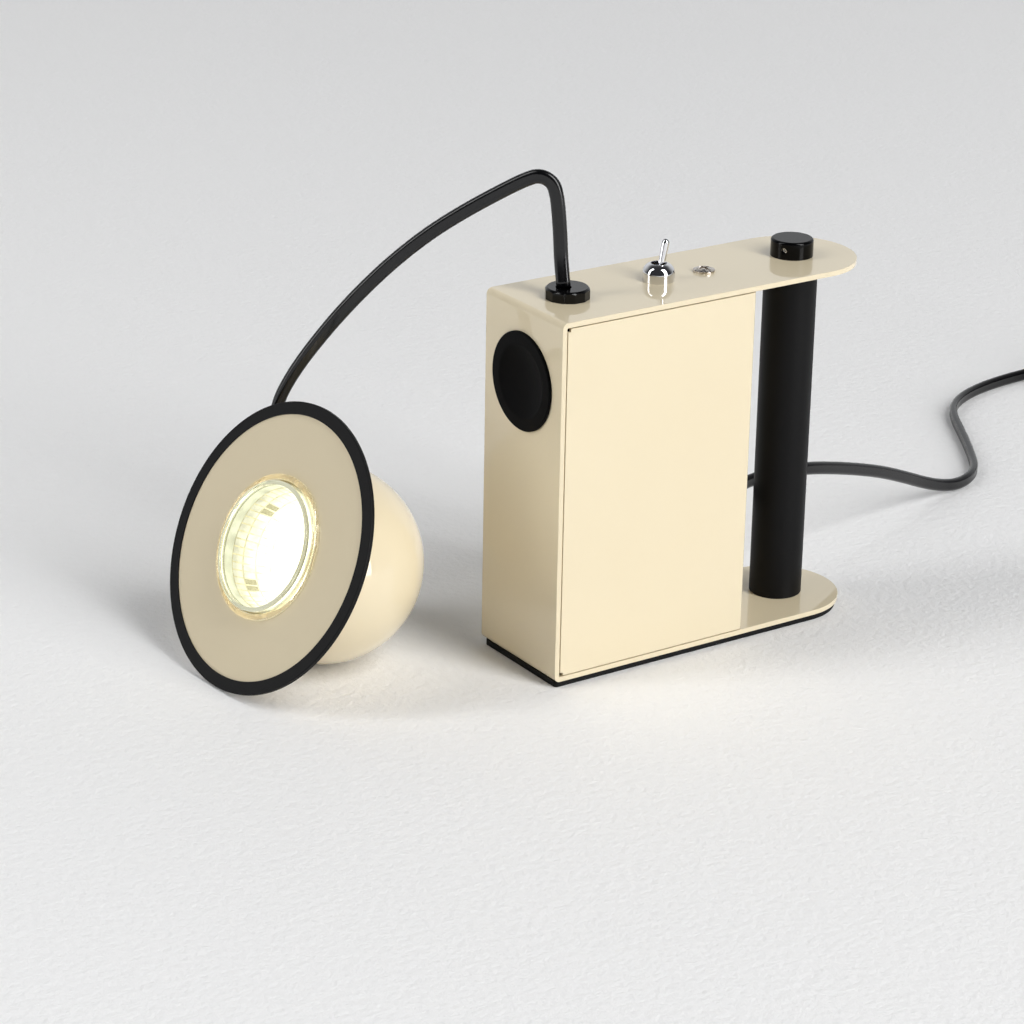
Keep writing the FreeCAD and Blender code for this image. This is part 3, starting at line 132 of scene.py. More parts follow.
def flat_flex(name, points, normal, turn_at):
    """A flat twin flex along the points. Its broad side lies across normal where turn_at gives
    0 radians for the share of the length, and along it at a quarter turn."""
    wide, thick, groove, sides = 0.0054, 0.0034, 0.0003, 12
    form = bmesh.new()
    rings = []
    total = line_length(points)
    run = 0.0
    for index, spot in enumerate(points):
        before = points[max(index - 1, 0)]
        after = points[min(index + 1, len(points) - 1)]
        if index:
            run += (spot - before).length
        along = (after - before).normalized()
        upright = (normal - along * normal.dot(along)).normalized()
        turn = turn_at(run / total)
        broad = along.cross(upright) * math.cos(turn) + upright * math.sin(turn)
        narrow = along.cross(broad)
        ring = []
        for end in (1, -1):
            for step in range(sides + 1):
                angle = math.pi * (step / sides - 0.5)
                out = (wide - thick) / 2 + thick / 2 * math.cos(angle)
                across = thick / 2 * math.sin(angle)
                ring.append(form.verts.new(spot + (broad * out + narrow * across) * end))
            ring.append(form.verts.new(spot + narrow * (thick / 2 - groove) * end))
        rings.append(ring)
    for ring, following in zip(rings, rings[1:]):
        for k in range(len(ring)):
            n = (k + 1) % len(ring)
            form.faces.new((ring[k], ring[n], following[n], following[k]))
    form.faces.new(reversed(rings[0]))
    form.faces.new(rings[-1])
    bmesh.ops.recalc_face_normals(form, faces=form.faces)
    for face in form.faces:
        face.smooth = len(face.verts) == 4
    mesh = bpy.data.meshes.new(name)
    form.to_mesh(mesh)
    form.free()
    piece = bpy.data.objects.new(name, mesh)
    scene.collection.objects.link(piece)
    mesh.materials.append(cord_jacket)
    return piece


# The head stands at the ball's centre, turned 4.9 degrees aside, its axis 26.1 degrees up.
head_place = (Matrix.Translation((-0.13225, 0.0471, 0.0386))
              @ Matrix.Rotation(math.radians(4.9), 4, "Z")
              @ Matrix.Rotation(math.radians(26.14 - 90), 4, "Y"))
entry_turn = Matrix.Rotation(math.radians(42), 4, "Z") @ Matrix.Rotation(math.radians(72), 4, "Y")
grommet_reach = 0.0426
grommet_tip = head_place @ entry_turn @ Vector((0, 0, grommet_reach)) * 1000

lead_route = [
    (-57.0, 0.0, 148.0), (-56.6, 2.5, 156.8), (-56.9, 3.0, 166.7), (-57.5, 3.4, 175.3),
    (-58.0, 4.0, 181.5), (-59.1, 5.1, 186.7), (-62.6, 8.7, 189.1), (-66.5, 12.9, 186.8),
    (-72.4, 19.1, 181.8), (-80.9, 28.0, 174.1), (-90.7, 38.3, 164.1), (-101.7, 49.8, 150.1),
    (-112.8, 61.5, 132.6), (-121.7, 70.8, 116.1), (-127.7, 77.1, 103.1), (-131.6, 81.2, 91.6),
    (-133.0, 80.8, 81.6), tuple(grommet_tip),
]
lead_points = cord_line("lamp_lead_line", lead_route)
arc_normal = Vector((0.724, 0.69, 0))
turn_start, end_turn = 0.62, 1.25
lamp_lead = flat_flex(
    "lamp_lead_flex", lead_points, arc_normal,
    lambda share: end_turn * max(0.0, (share - turn_start) / (1 - turn_start)) ** 0.8)
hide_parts("lamp_lead")
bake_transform(lamp_lead)

# Mains cord
# The same flat flex, standing on its edge: out of the rear bush, round the handle, down to the
# table, in an S over it and into the put-away coil, then into the back of the plug.

mains_route = [
    (20.95, 0.0, 42.0), (27.0, 1.6, 42.1), (32.2, 7.2, 42.3), (37.4, 14.8, 42.6),
    (46.0, 21.0, 42.9), (58.0, 23.6, 43.0), (71.0, 24.8, 42.4), (86.0, 27.4, 40.0),
    (102.0, 31.4, 35.6), (119.0, 36.0, 30.2), (136.0, 40.6, 24.2), (152.0, 45.2, 17.4),
    (167.0, 49.8, 10.4), (180.0, 52.6, 5.2), (191.5, 54.2, 2.7), (202.0, 57.6, 2.7),
    (211.4, 64.8, 2.7), (219.6, 76.0, 2.7), (229.0, 90.4, 2.7), (238.0, 105.0, 2.7),
    (246.4, 119.0, 2.7), (254.6, 129.6, 2.7), (265.0, 137.4, 2.7), (279.0, 143.4, 2.7),
    (298.0, 147.6, 2.7), (324.0, 149.4, 2.7), (346.0, 149.4, 2.7),
]
coil_turns_in, climb_turns, coil_turns_out = 3.5, 0.5, 3.25
coil_spacing, coil_inner, lying_height = 5.85, 21.9, 2.7
# The curve runs a little inside its points, so the coil's radius is divided by this share.
curve_shrink = 0.996
coil_centre = (354.0, 149.3 - coil_inner - coil_turns_in * coil_spacing)
steps_per_turn = 24
total_steps = round((coil_turns_in + climb_turns + coil_turns_out) * steps_per_turn)
for step in range(1, total_steps):
    turned = step / steps_per_turn
    outward = coil_turns_in - turned
    climbed = 0.0
    if turned > coil_turns_in + climb_turns:
        outward = turned - coil_turns_in - climb_turns
        climbed = 1.0
    elif turned > coil_turns_in:
        outward = 0.0
        climbed = (turned - coil_turns_in) / climb_turns
    radius = (coil_inner + outward * coil_spacing) / curve_shrink
    angle = math.pi / 2 - turned * 2 * math.pi
    mains_route.append((coil_centre[0] + radius * math.cos(angle),
                        coil_centre[1] + radius * math.sin(angle),
                        lying_height + climbed * coil_spacing))
mains_route += [(394.9, 108.0, 8.55), (394.9, 100.5, 8.55), (397.3, 92.0, 8.3),
                (395.9, 83.5, 7.6), (393.1, 74.5, 7.0), (392.3, 65.0, 6.85)]
mains_points = cord_line("mains_cord_line", mains_route)
mains_cord = flat_flex("mains_cord_flex", mains_points, Vector((0, 0, 1)),
                       lambda share: math.pi / 2)
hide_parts("mains_cord", "mains_coil", "mains_tail")
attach(mains_cord, "base")

# Folded body and box cover
# The body is one 2 mm steel strip bent into a C, the cover a folded 1.2 mm box that slides in
# behind it. Both are powder coated in glossy cream.


def finished(node, material, edge=0.1, body="base", sharp=35):
    """A finished copy of a CAD node: flat faces joined, edges that turn by more than sharp
    degrees rounded by edge in mm."""
    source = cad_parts[node]
    form = bmesh.new()
    form.from_mesh(source.data)
    bmesh.ops.remove_doubles(form, verts=form.verts, dist=1e-6)
    bmesh.ops.dissolve_limit(form, angle_limit=0.01, verts=form.verts, edges=form.edges)
    for face in form.faces:
        face.smooth = True
    mesh = bpy.data.meshes.new(node + "_finish")
    form.to_mesh(mesh)
    form.free()
    piece = bpy.data.objects.new(node + "_finish", mesh)
    scene.collection.objects.link(piece)
    piece.matrix_world = source.matrix_world.copy()
    mesh.materials.append(material)
    rounding = piece.modifiers.new("rounded edges", "BEVEL")
    rounding.width = edge / 1000
    rounding.segments = 2
    rounding.limit_method = "ANGLE"
    rounding.angle_limit = math.radians(sharp)
    piece.modifiers.new("true flats", "WEIGHTED_NORMAL")
    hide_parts(node)
    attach(piece, body)
    return piece


# Powder coat under a clear gloss: a slight orange peel, about 2.5 mm from crest to crest.
cream_paint = new_material("glossy cream powder coat")
where = add_node(cream_paint, "ShaderNodeTexCoord")
peel = add_node(cream_paint, "ShaderNodeTexNoise",
                {"Vector": where.outputs["Object"], "Scale": 400.0, "Detail": 1.0})
relief = add_node(cream_paint, "ShaderNodeBump",
                  {"Height": peel.outputs["Fac"], "Strength": 0.04, "Distance": 0.0001})
cloud = add_node(cream_paint, "ShaderNodeTexNoise",
                 {"Vector": where.outputs["Object"], "Scale": 14.0, "Detail": 2.0})
tone = add_node(cream_paint, "ShaderNodeMix",
                {"Factor": cloud.outputs["Fac"], 6: linear("#e3d5b6"), 7: linear("#e6d9bb")},
                data_type="RGBA")
paint = add_node(cream_paint, "ShaderNodeBsdfPrincipled",
                 {"Base Color": tone.outputs[2], "Roughness": 0.4, "IOR": 1.5,
                  "Specular IOR Level": 0.1, "Coat Weight": 1.0, "Coat Roughness": 0.03,
                  "Normal": relief.outputs["Normal"]})
add_node(cream_paint, "ShaderNodeOutputMaterial", {"Surface": paint.outputs["BSDF"]})

finished("folded_body", cream_paint, edge=0.25)
finished("box_cover", cream_paint, edge=0.2)

# Head shell and disc
# The head is a pressed 1 mm steel ball, and a flat 1 mm disc pushed on to it carries the lamp.
# Both have the base's cream coat.

finished("head_shell", cream_paint, edge=0.15, body="head")
finished("head_disc", cream_paint, edge=0.15, body="head")

# Rubber pieces
# The base pad is stuck under the body, a channel is sprung over the disc's edge, and each cord
# goes through a bush. All are moulded black rubber with a fine matt skin.

# A fine matt skin that takes the light softly, with only a dull shine on its edges.
black_rubber = new_material("moulded black rubber")
where = add_node(black_rubber, "ShaderNodeTexCoord")
grain = add_node(black_rubber, "ShaderNodeTexNoise",
                 {"Vector": where.outputs["Object"], "Scale": 1800.0, "Detail": 3.0})
relief = add_node(black_rubber, "ShaderNodeBump",
                  {"Height": grain.outputs["Fac"], "Strength": 0.25, "Distance": 0.0001})
rubber = add_node(black_rubber, "ShaderNodeBsdfPrincipled",
                  {"Base Color": linear("#0c0c0d"), "Roughness": 0.6, "IOR": 1.5,
                   "Specular IOR Level": 0.2, "Normal": relief.outputs["Normal"]})
add_node(black_rubber, "ShaderNodeOutputMaterial", {"Surface": rubber.outputs["BSDF"]})

finished("base_pad", black_rubber, edge=0.2)
finished("rim_ring", black_rubber, edge=0.15, body="head")
finished("cord_bush", black_rubber, edge=0.3)
finished("lead_grommet", black_rubber, edge=0.3, body="head")

# Plug
# A two-pin plug of black rubber on the end of the mains cord, moulded round the cord and the
# brass pins.

plug = finished("mains_plug", black_rubber, edge=0.3)

# Gland and seat
# The gland grips the lead in the top plate. The dished seat holds a magnet that keeps the ball.
# Both are moulded nylon: the gland came off a polished tool, the seat off a matt one. So did
# the switch's body and the handle's plugs.

# Near black with small clear lights on its corners, and a grain just fine enough to break them.
glossy_nylon = new_material("moulded black nylon, polished")
where = add_node(glossy_nylon, "ShaderNodeTexCoord")
grain = add_node(glossy_nylon, "ShaderNodeTexNoise",
                 {"Vector": where.outputs["Object"], "Scale": 700.0, "Detail": 3.0})
relief = add_node(glossy_nylon, "ShaderNodeBump",
                  {"Height": grain.outputs["Fac"], "Strength": 0.2, "Distance": 0.0001})
nylon = add_node(glossy_nylon, "ShaderNodeBsdfPrincipled",
                 {"Base Color": linear("#070708"), "Roughness": 0.14, "IOR": 1.53,
                  "Specular IOR Level": 0.25, "Normal": relief.outputs["Normal"]})
add_node(glossy_nylon, "ShaderNodeOutputMaterial", {"Surface": nylon.outputs["BSDF"]})

finished("gland_nut", glossy_nylon, edge=0.25, sharp=25)
finished("gland_body", glossy_nylon, edge=0.2)

# The same nylon with a spark-eroded skin: it swallows the light, so the seat reads as a hole.
matt_nylon = new_material("moulded black nylon, matt")
where = add_node(matt_nylon, "ShaderNodeTexCoord")
grain = add_node(matt_nylon, "ShaderNodeTexNoise",
                 {"Vector": where.outputs["Object"], "Scale": 900.0, "Detail": 3.0})
relief = add_node(matt_nylon, "ShaderNodeBump",
                  {"Height": grain.outputs["Fac"], "Strength": 0.3, "Distance": 0.0001})
nylon = add_node(matt_nylon, "ShaderNodeBsdfPrincipled",
                 {"Base Color": linear("#050506"), "Roughness": 0.6, "IOR": 1.53,
                  "Specular IOR Level": 0.06, "Normal": relief.outputs["Normal"]})
add_node(matt_nylon, "ShaderNodeOutputMaterial", {"Surface": nylon.outputs["BSDF"]})

finished("seat_cup", matt_nylon, edge=0.1)
finished("toggle_body", matt_nylon, edge=0.3)
finished("handle_lower_plug", matt_nylon, edge=0.3)
finished("handle_upper_plug", matt_nylon, edge=0.3)

# Handle
# A steel tube clamped between the plates by a rod, with a turned cap above that a set screw
# holds. The tube is satin black powder coat, the cap glossy black enamel.

# A dry satin black whose fine grain, under 1 mm, spreads one soft light down the tube.
black_paint = new_material("satin black powder coat")
where = add_node(black_paint, "ShaderNodeTexCoord")
grain = add_node(black_paint, "ShaderNodeTexNoise",
                 {"Vector": where.outputs["Object"], "Scale": 1400.0, "Detail": 2.0})
relief = add_node(black_paint, "ShaderNodeBump",
                  {"Height": grain.outputs["Fac"], "Strength": 0.25, "Distance": 0.0001})
paint = add_node(black_paint, "ShaderNodeBsdfPrincipled",
                 {"Base Color": linear("#0b0b0c"), "Roughness": 0.5, "IOR": 1.5,
                  "Specular IOR Level": 0.15, "Normal": relief.outputs["Normal"]})
add_node(black_paint, "ShaderNodeOutputMaterial", {"Surface": paint.outputs["BSDF"]})
finished("handle_tube", black_paint, edge=0.3)

# Stoved enamel: smooth, with long clear lights round the cap, faintly uneven in their sheen.
enamel = new_material("glossy black enamel")
where = add_node(enamel, "ShaderNodeTexCoord")
cloud = add_node(enamel, "ShaderNodeTexNoise",
                 {"Vector": where.outputs["Object"], "Scale": 500.0, "Detail": 2.0})
sheen = add_node(enamel, "ShaderNodeMapRange",
                 {"Value": cloud.outputs["Fac"], "To Min": 0.1, "To Max": 0.2})
paint = add_node(enamel, "ShaderNodeBsdfPrincipled",
                 {"Base Color": linear("#060607"), "Roughness": sheen.outputs["Result"],
                  "IOR": 1.5, "Specular IOR Level": 0.14})
add_node(enamel, "ShaderNodeOutputMaterial", {"Surface": paint.outputs["BSDF"]})
finished("handle_cap", enamel)

# Switch
# A small lever switch, held in the top plate by its dome nut. The nut and the lever are chromed
# brass, polished before plating, the bushing and the terminals plain brass.

# A clean mirror: it shows the soft boxes as white strips and the room between them as black.
chrome = new_material("polished chrome plate")
where = add_node(chrome, "ShaderNodeTexCoord")
haze = add_node(chrome, "ShaderNodeTexNoise",
                {"Vector": where.outputs["Object"], "Scale": 300.0, "Detail": 2.0})
polish = add_node(chrome, "ShaderNodeMapRange",
                  {"Value": haze.outputs["Fac"], "To Min": 0.02, "To Max": 0.06})
plate = add_node(chrome, "ShaderNodeBsdfPrincipled",
                 {"Base Color": linear("#e4e4e6"), "Metallic": 1.0,
                  "Roughness": polish.outputs["Result"]})
add_node(chrome, "ShaderNodeOutputMaterial", {"Surface": plate.outputs["BSDF"]})
finished("toggle_dome_nut", chrome, edge=0.12)
finished("toggle_lever", chrome, body="lever")

# Warm yellow metal, lightly dulled by turning and handling.
brass = new_material("turned brass")
where = add_node(brass, "ShaderNodeTexCoord")
haze = add_node(brass, "ShaderNodeTexNoise",
                {"Vector": where.outputs["Object"], "Scale": 600.0, "Detail": 2.0})
polish = add_node(brass, "ShaderNodeMapRange",
                  {"Value": haze.outputs["Fac"], "To Min": 0.2, "To Max": 0.32})
metal = add_node(brass, "ShaderNodeBsdfPrincipled",
                 {"Base Color": linear("#d6b263"), "Metallic": 1.0,
                  "Roughness": polish.outputs["Result"]})
add_node(brass, "ShaderNodeOutputMaterial", {"Surface": metal.outputs["BSDF"]})
finished("toggle_bushing", brass)
finished("toggle_terminals", brass)
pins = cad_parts["plug_pins"]
pins.data.materials.clear()
pins.data.materials.append(brass)

# Screws and steel parts
# Pressed and turned steel fastenings and the plates they hold. The cover's screw on the top plate
# is bright nickel and the cap's set screw chromed, the rest is zinc plated.

# Tumbled before plating, so its small dents break the light into bright and dark spots.
nickel = new_material("nickel plated steel, barrel polished")
where = add_node(nickel, "ShaderNodeTexCoord")
haze = add_node(nickel, "ShaderNodeTexNoise",
                {"Vector": where.outputs["Object"], "Scale": 900.0, "Detail": 3.0})
polish = add_node(nickel, "ShaderNodeMapRange",
                  {"Value": haze.outputs["Fac"], "To Min": 0.06, "To Max": 0.2})
relief = add_node(nickel, "ShaderNodeBump",
                  {"Height": haze.outputs["Fac"], "Strength": 0.8, "Distance": 0.0005})
metal = add_node(nickel, "ShaderNodeBsdfPrincipled",
                 {"Base Color": linear("#cfc8c0"), "Metallic": 1.0,
                  "Roughness": polish.outputs["Result"], "Normal": relief.outputs["Normal"]})
add_node(nickel, "ShaderNodeOutputMaterial", {"Surface": metal.outputs["BSDF"]})
finished("cover_screw", nickel)
finished("cap_set_screw", chrome)

# Bluish grey, with an even dull shine.
zinc = new_material("zinc plated steel")
where = add_node(zinc, "ShaderNodeTexCoord")
haze = add_node(zinc, "ShaderNodeTexNoise",
                {"Vector": where.outputs["Object"], "Scale": 800.0, "Detail": 2.0})
polish = add_node(zinc, "ShaderNodeMapRange",
                  {"Value": haze.outputs["Fac"], "To Min": 0.25, "To Max": 0.4})
metal = add_node(zinc, "ShaderNodeBsdfPrincipled",
                 {"Base Color": linear("#b4b5b8"), "Metallic": 1.0,
                  "Roughness": polish.outputs["Result"]})
add_node(zinc, "ShaderNodeOutputMaterial", {"Surface": metal.outputs["BSDF"]})
for node in ("floor_screw", "handle_rod", "seat_nut"):
    finished(node, zinc)
finished("seat_magnet", zinc)
finished("holder_plate", zinc, body="head")
finished("holder_screws", zinc, body="head")

# Lampholder and terminal block
# The holder is glazed ceramic, screwed to a steel plate inside the ball. The terminal block
# inside the box is white plastic with brass screws, and takes the same off-white finish here.

# Off-white under a thin glaze that gives it a mild shine.
ceramic = new_material("glazed white ceramic")
where = add_node(ceramic, "ShaderNodeTexCoord")
grain = add_node(ceramic, "ShaderNodeTexNoise",
                 {"Vector": where.outputs["Object"], "Scale": 600.0, "Detail": 2.0})
relief = add_node(ceramic, "ShaderNodeBump",
                  {"Height": grain.outputs["Fac"], "Strength": 0.1, "Distance": 0.0001})
glaze = add_node(ceramic, "ShaderNodeBsdfPrincipled",
                 {"Base Color": linear("#e9e6dc"), "Roughness": 0.3, "IOR": 1.5,
                  "Normal": relief.outputs["Normal"]})
add_node(ceramic, "ShaderNodeOutputMaterial", {"Surface": glaze.outputs["BSDF"]})
finished("lampholder", ceramic, edge=0.2, body="head")
finished("terminal_block", ceramic, edge=0.3)
finished("block_screws", brass)

# Lamp
# A pressed glass cup with an aluminised faceted inside and a clear front lens, lit by a small
# light board in its throat. It sits in a clear moulded collar that lies on the disc.


def placed_mesh(name, form, material, body):
    """Makes a piece of the head from a form in the head's own millimetres."""
    bmesh.ops.scale(form, vec=(0.001, 0.001, 0.001), verts=form.verts)
    mesh = bpy.data.meshes.new(name)
    form.to_mesh(mesh)
    form.free()
    piece = bpy.data.objects.new(name, mesh)
    scene.collection.objects.link(piece)
    piece.matrix_world = head_place
    mesh.materials.append(material)
    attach(piece, body)
    return piece


def turned(name, outline, material, slot, body, edge=0.08, steps=128, sharp=35):
    """A piece of the head turned about its axis from (radius, height) corners in mm."""
    form = bmesh.new()
    rings = []
    for radius, height in outline:
        if radius == 0:
            rings.append([form.verts.new((0, 0, height))] * steps)
            continue
        rings.append([form.verts.new((radius * math.cos(2 * math.pi * k / steps),
                                      radius * math.sin(2 * math.pi * k / steps), height))
                      for k in range(steps)])
    for ring, following in zip(rings, rings[1:] + rings[:1]):
        for k in range(steps):
            n = (k + 1) % steps
            corners = list(dict.fromkeys((ring[k], ring[n], following[n], following[k])))
            if len(corners) > 2:
                form.faces.new(corners).smooth = True
    bmesh.ops.recalc_face_normals(form, faces=form.faces)
    piece = placed_mesh(name, form, material, body)
    rounding = piece.modifiers.new("rounded edges", "BEVEL")
    rounding.width = edge / 1000
    rounding.segments = 2
    rounding.limit_method = "ANGLE"
    rounding.angle_limit = math.radians(sharp)
    piece.modifiers.new("true flats", "WEIGHTED_NORMAL")
    return piece


# Levels along the head's axis, from the ball's centre.
lamp_front, lens_back, shoulder, throat = 30.6, 28.82, 27.6, -1.5
lens_radius, lens_crown, crown_steps = 23.42, 0.6, 8

# Pressed soda glass: clear, faintly green at its edges, with a slow ripple from the mould.
glass = new_material("clear pressed glass")
where = add_node(glass, "ShaderNodeTexCoord")
ripple = add_node(glass, "ShaderNodeTexNoise",
                  {"Vector": where.outputs["Object"], "Scale": 90.0, "Detail": 1.0})
relief = add_node(glass, "ShaderNodeBump",
                  {"Height": ripple.outputs["Fac"], "Strength": 0.05, "Distance": 0.0002})
clear = add_node(glass, "ShaderNodeBsdfPrincipled",
                 {"Base Color": linear("#f1f7ee"), "Roughness": 0.02, "IOR": 1.5,
                  "Transmission Weight": 1.0, "Normal": relief.outputs["Normal"]})
add_node(glass, "ShaderNodeOutputMaterial", {"Surface": clear.outputs["BSDF"]})

# The cup's thick rim pipes light from inside and glows a pale cream. The collar round it is
# clear silicone, softer at its edges, with a faint warm painted glow for the lamp's light in it.
lit_glass = new_material("pressed glass, lit from inside")
where = add_node(lit_glass, "ShaderNodeTexCoord")
ripple = add_node(lit_glass, "ShaderNodeTexNoise",
                  {"Vector": where.outputs["Object"], "Scale": 160.0, "Detail": 1.0})
shade = add_node(lit_glass, "ShaderNodeMix",
                 {"Factor": ripple.outputs["Fac"], 6: linear("#e0dfc4"), 7: linear("#f8f4e0")},
                 data_type="RGBA")
clear = add_node(lit_glass, "ShaderNodeBsdfPrincipled",
                 {"Base Color": linear("#eef4e4"), "Roughness": 0.05, "IOR": 1.5,
                  "Transmission Weight": 1.0, "Emission Color": shade.outputs[2],
                  "Emission Strength": 0.12})
add_node(lit_glass, "ShaderNodeOutputMaterial", {"Surface": clear.outputs["BSDF"]})
finished("lamp_reflector", lit_glass, edge=0.15, body="lamp")

# The collar's warm emission is painted light, not a lamp.
silicone = new_material("clear silicone")
where = add_node(silicone, "ShaderNodeTexCoord")
ripple = add_node(silicone, "ShaderNodeTexNoise",
                  {"Vector": where.outputs["Object"], "Scale": 120.0, "Detail": 1.0})
relief = add_node(silicone, "ShaderNodeBump",
                  {"Height": ripple.outputs["Fac"], "Strength": 0.08, "Distance": 0.0002})
clear = add_node(silicone, "ShaderNodeBsdfPrincipled",
                 {"Base Color": linear("#fbf7ea"), "Roughness": 0.04, "IOR": 1.33,
                  "Transmission Weight": 1.0, "Emission Color": linear("#f4e2b4"),
                  "Emission Strength": 0.16, "Normal": relief.outputs["Normal"]})
add_node(silicone, "ShaderNodeOutputMaterial", {"Surface": clear.outputs["BSDF"]})
finished("lamp_collar", silicone, edge=0.08, body="head")
bow = (lens_radius ** 2 + lens_crown ** 2) / (2 * lens_crown)
lens_outline = [(0, lens_back), (lens_radius, lens_back)]
for step in range(crown_steps + 1):
    out = lens_radius * (1 - step / crown_steps)
    lens_outline.append((out, lamp_front - bow + math.sqrt(bow ** 2 - out ** 2)))
lens = turned("lamp_lens_clear", lens_outline, glass, "clear_glass", "lamp")
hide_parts("lamp_lens")

# A smooth band runs round under the rim, and below it the aluminised facets stand in rows, each
# a narrow flat pillow. Lit from the board they are white deep in the cup, with pale gold joints
# towards the rim. Two groups of them carry painted reflections of the board's gold contacts.
mirror = new_material("aluminised facets, lit")
joint = new_material("aluminised joints, gold by the light")
painted_contact_reflection = new_material("facets with painted reflections of gold contacts")
band = new_material("aluminised band, painted glow, green by the glass")
# Each of these glows by emission, painted light from the board, strongest deep in the cup; the
# band's is pale green.
for finish, rim_tone, deep_tone, dim, bright, scale in (
        (mirror, "#f6f3e2", "#fffaf0", 0.72, 2.2, 260.0),
        (joint, "#efe2b2", "#fff6dc", 0.8, 2.0, 420.0),
        (painted_contact_reflection, "#86713a", "#eadfb4", 0.44, 0.7, 1500.0),
        (band, "#e8ead4", "#f6f4e2", 0.84, 0.98, 200.0)):
    where = add_node(finish, "ShaderNodeTexCoord")
    height = add_node(finish, "ShaderNodeSeparateXYZ", {"Vector": where.outputs["Object"]})
    depth = add_node(finish, "ShaderNodeMapRange",
                     {"Value": height.outputs["Z"], "From Min": 0.022, "From Max": 0.008})
    mottle = add_node(finish, "ShaderNodeTexNoise",
                      {"Vector": where.outputs["Object"], "Scale": scale, "Detail": 1.0})
    patchy = add_node(finish, "ShaderNodeMapRange",
                      {"Value": mottle.outputs["Fac"], "From Min": 0.3, "From Max": 0.7,
                       "To Min": 0.75, "To Max": 1.25})
    strong = add_node(finish, "ShaderNodeMapRange",
                      {"Value": depth.outputs["Result"], "To Min": dim, "To Max": bright})
    glow = add_node(finish, "ShaderNodeMath",
                    {0: strong.outputs["Result"], 1: patchy.outputs["Result"]},
                    operation="MULTIPLY")
    warmth = add_node(finish, "ShaderNodeMix",
                      {"Factor": depth.outputs["Result"] if finish != painted_contact_reflection
                       else patchy.outputs["Result"],
                       6: linear(rim_tone), 7: linear(deep_tone)}, data_type="RGBA")
    facet = add_node(finish, "ShaderNodeBsdfPrincipled",
                     {"Base Color": linear("#7f7b6c"), "Metallic": 1.0, "Roughness": 0.15,
                      "Emission Color": warmth.outputs[2], "Emission Strength": glow.outputs[0]})
    add_node(finish, "ShaderNodeOutputMaterial", {"Surface": facet.outputs["BSDF"]})

cup_radius, sweep, facet_columns = 23.35, 39.9, 48
band_level = 23.6
facet_levels = (shoulder, band_level, 18.8, 14.0, 9.2, 4.0, throat + 0.1)
# Where the painted reflections of the gold contacts lie: bearings and reach aside in degrees, and
# low and high levels in mm.
reflected_contact_bearings, reflected_contact_reach, reflected_contact_low, reflected_contact_high = (57, 143), 8, 14, 21
pillow_margin, pillow_height = 0.42, 0.15
form = bmesh.new()
rings = []
for level in facet_levels:
    radius = cup_radius - sweep + math.sqrt(sweep ** 2 - (level - shoulder) ** 2)
    rings.append([form.verts.new((radius * math.cos(2 * math.pi * k / facet_columns),
                                  radius * math.sin(2 * math.pi * k / facet_columns), level))
                  for k in range(facet_columns)])
facets = []
for ring, following in zip(rings, rings[1:]):
    for k in range(facet_columns):
        n = (k + 1) % facet_columns
        facets.append(form.faces.new((ring[k], following[k], following[n], ring[n])))
form.normal_update()
if facets[0].normal.dot(facets[0].calc_center_median()) > 0:
    bmesh.ops.reverse_faces(form, faces=form.faces)
for face in facets:
    middle = face.calc_center_median()
    bearing = math.degrees(math.atan2(middle.y, middle.x)) % 360
    aside = min(abs(bearing - reflected_contact_bearing) for reflected_contact_bearing in reflected_contact_bearings)
    if reflected_contact_low < middle.z < reflected_contact_high and aside < reflected_contact_reach:
        face.material_index = 2
    if middle.z > band_level:
        face.material_index = 3
        face.smooth = True
pillows = [face for face in facets if face.material_index != 3]
inset = bmesh.ops.inset_individual(form, faces=pillows, thickness=pillow_margin,
                                   depth=pillow_height)
for face in inset["faces"]:
    face.material_index = 1
facet_mirror = placed_mesh("lamp_facets", form, mirror, "lamp")
facet_mirror.data.materials.append(joint)
facet_mirror.data.materials.append(painted_contact_reflection)
facet_mirror.data.materials.append(band)

# The board is white with gold contacts, and the chip on it is a low dome of yellow phosphor.
# The mask and its contacts glow in their own colours: painted light, as if lit by the chip.
board_paint = new_material("white solder mask, painted as lit by its chip")
where = add_node(board_paint, "ShaderNodeTexCoord")
fleck = add_node(board_paint, "ShaderNodeTexVoronoi",
                 {"Vector": where.outputs["Object"], "Scale": 900.0})
pads = add_node(board_paint, "ShaderNodeMapRange",
                {"Value": fleck.outputs["Distance"], "From Min": 0.2, "From Max": 0.35})
mask = add_node(board_paint, "ShaderNodeMix",
                {"Factor": pads.outputs["Result"], 6: linear("#b58a3a"), 7: linear("#efe2b4")},
                data_type="RGBA")
board = add_node(board_paint, "ShaderNodeBsdfPrincipled",
                 {"Base Color": mask.outputs[2], "Roughness": 0.4,
                  "Emission Color": mask.outputs[2], "Emission Strength": 0.8})
add_node(board_paint, "ShaderNodeOutputMaterial", {"Surface": board.outputs["BSDF"]})
finished("lamp_board", board_paint, body="lamp")

# The phosphor glows warm white when lit, brightest of all that is seen through the lens.
phosphor = new_material("yellow phosphor, lit")
where = add_node(phosphor, "ShaderNodeTexCoord")
grain = add_node(phosphor, "ShaderNodeTexNoise",
                 {"Vector": where.outputs["Object"], "Scale": 900.0, "Detail": 1.0})
shade = add_node(phosphor, "ShaderNodeMix",
                 {"Factor": grain.outputs["Fac"], 6: linear("#fff0c8"), 7: linear("#fff7e0")},
                 data_type="RGBA")
lit = add_node(phosphor, "ShaderNodeBsdfPrincipled",
               {"Base Color": linear("#f6e08a"), "Roughness": 0.5,
                "Emission Color": shade.outputs[2], "Emission Strength": 4.0})
add_node(phosphor, "ShaderNodeOutputMaterial", {"Surface": lit.outputs["BSDF"]})
turned("lamp_chip", [(0, 0.1), (6.2, 0.1), (6.2, 0.5), (5.4, 0.9), (3.0, 1.1), (0, 1.15)],
       phosphor, "light_board", "lamp", steps=48)

finished("lamp_base", ceramic, edge=0.3, body="lamp")
finished("lamp_pins", brass, body="lamp")
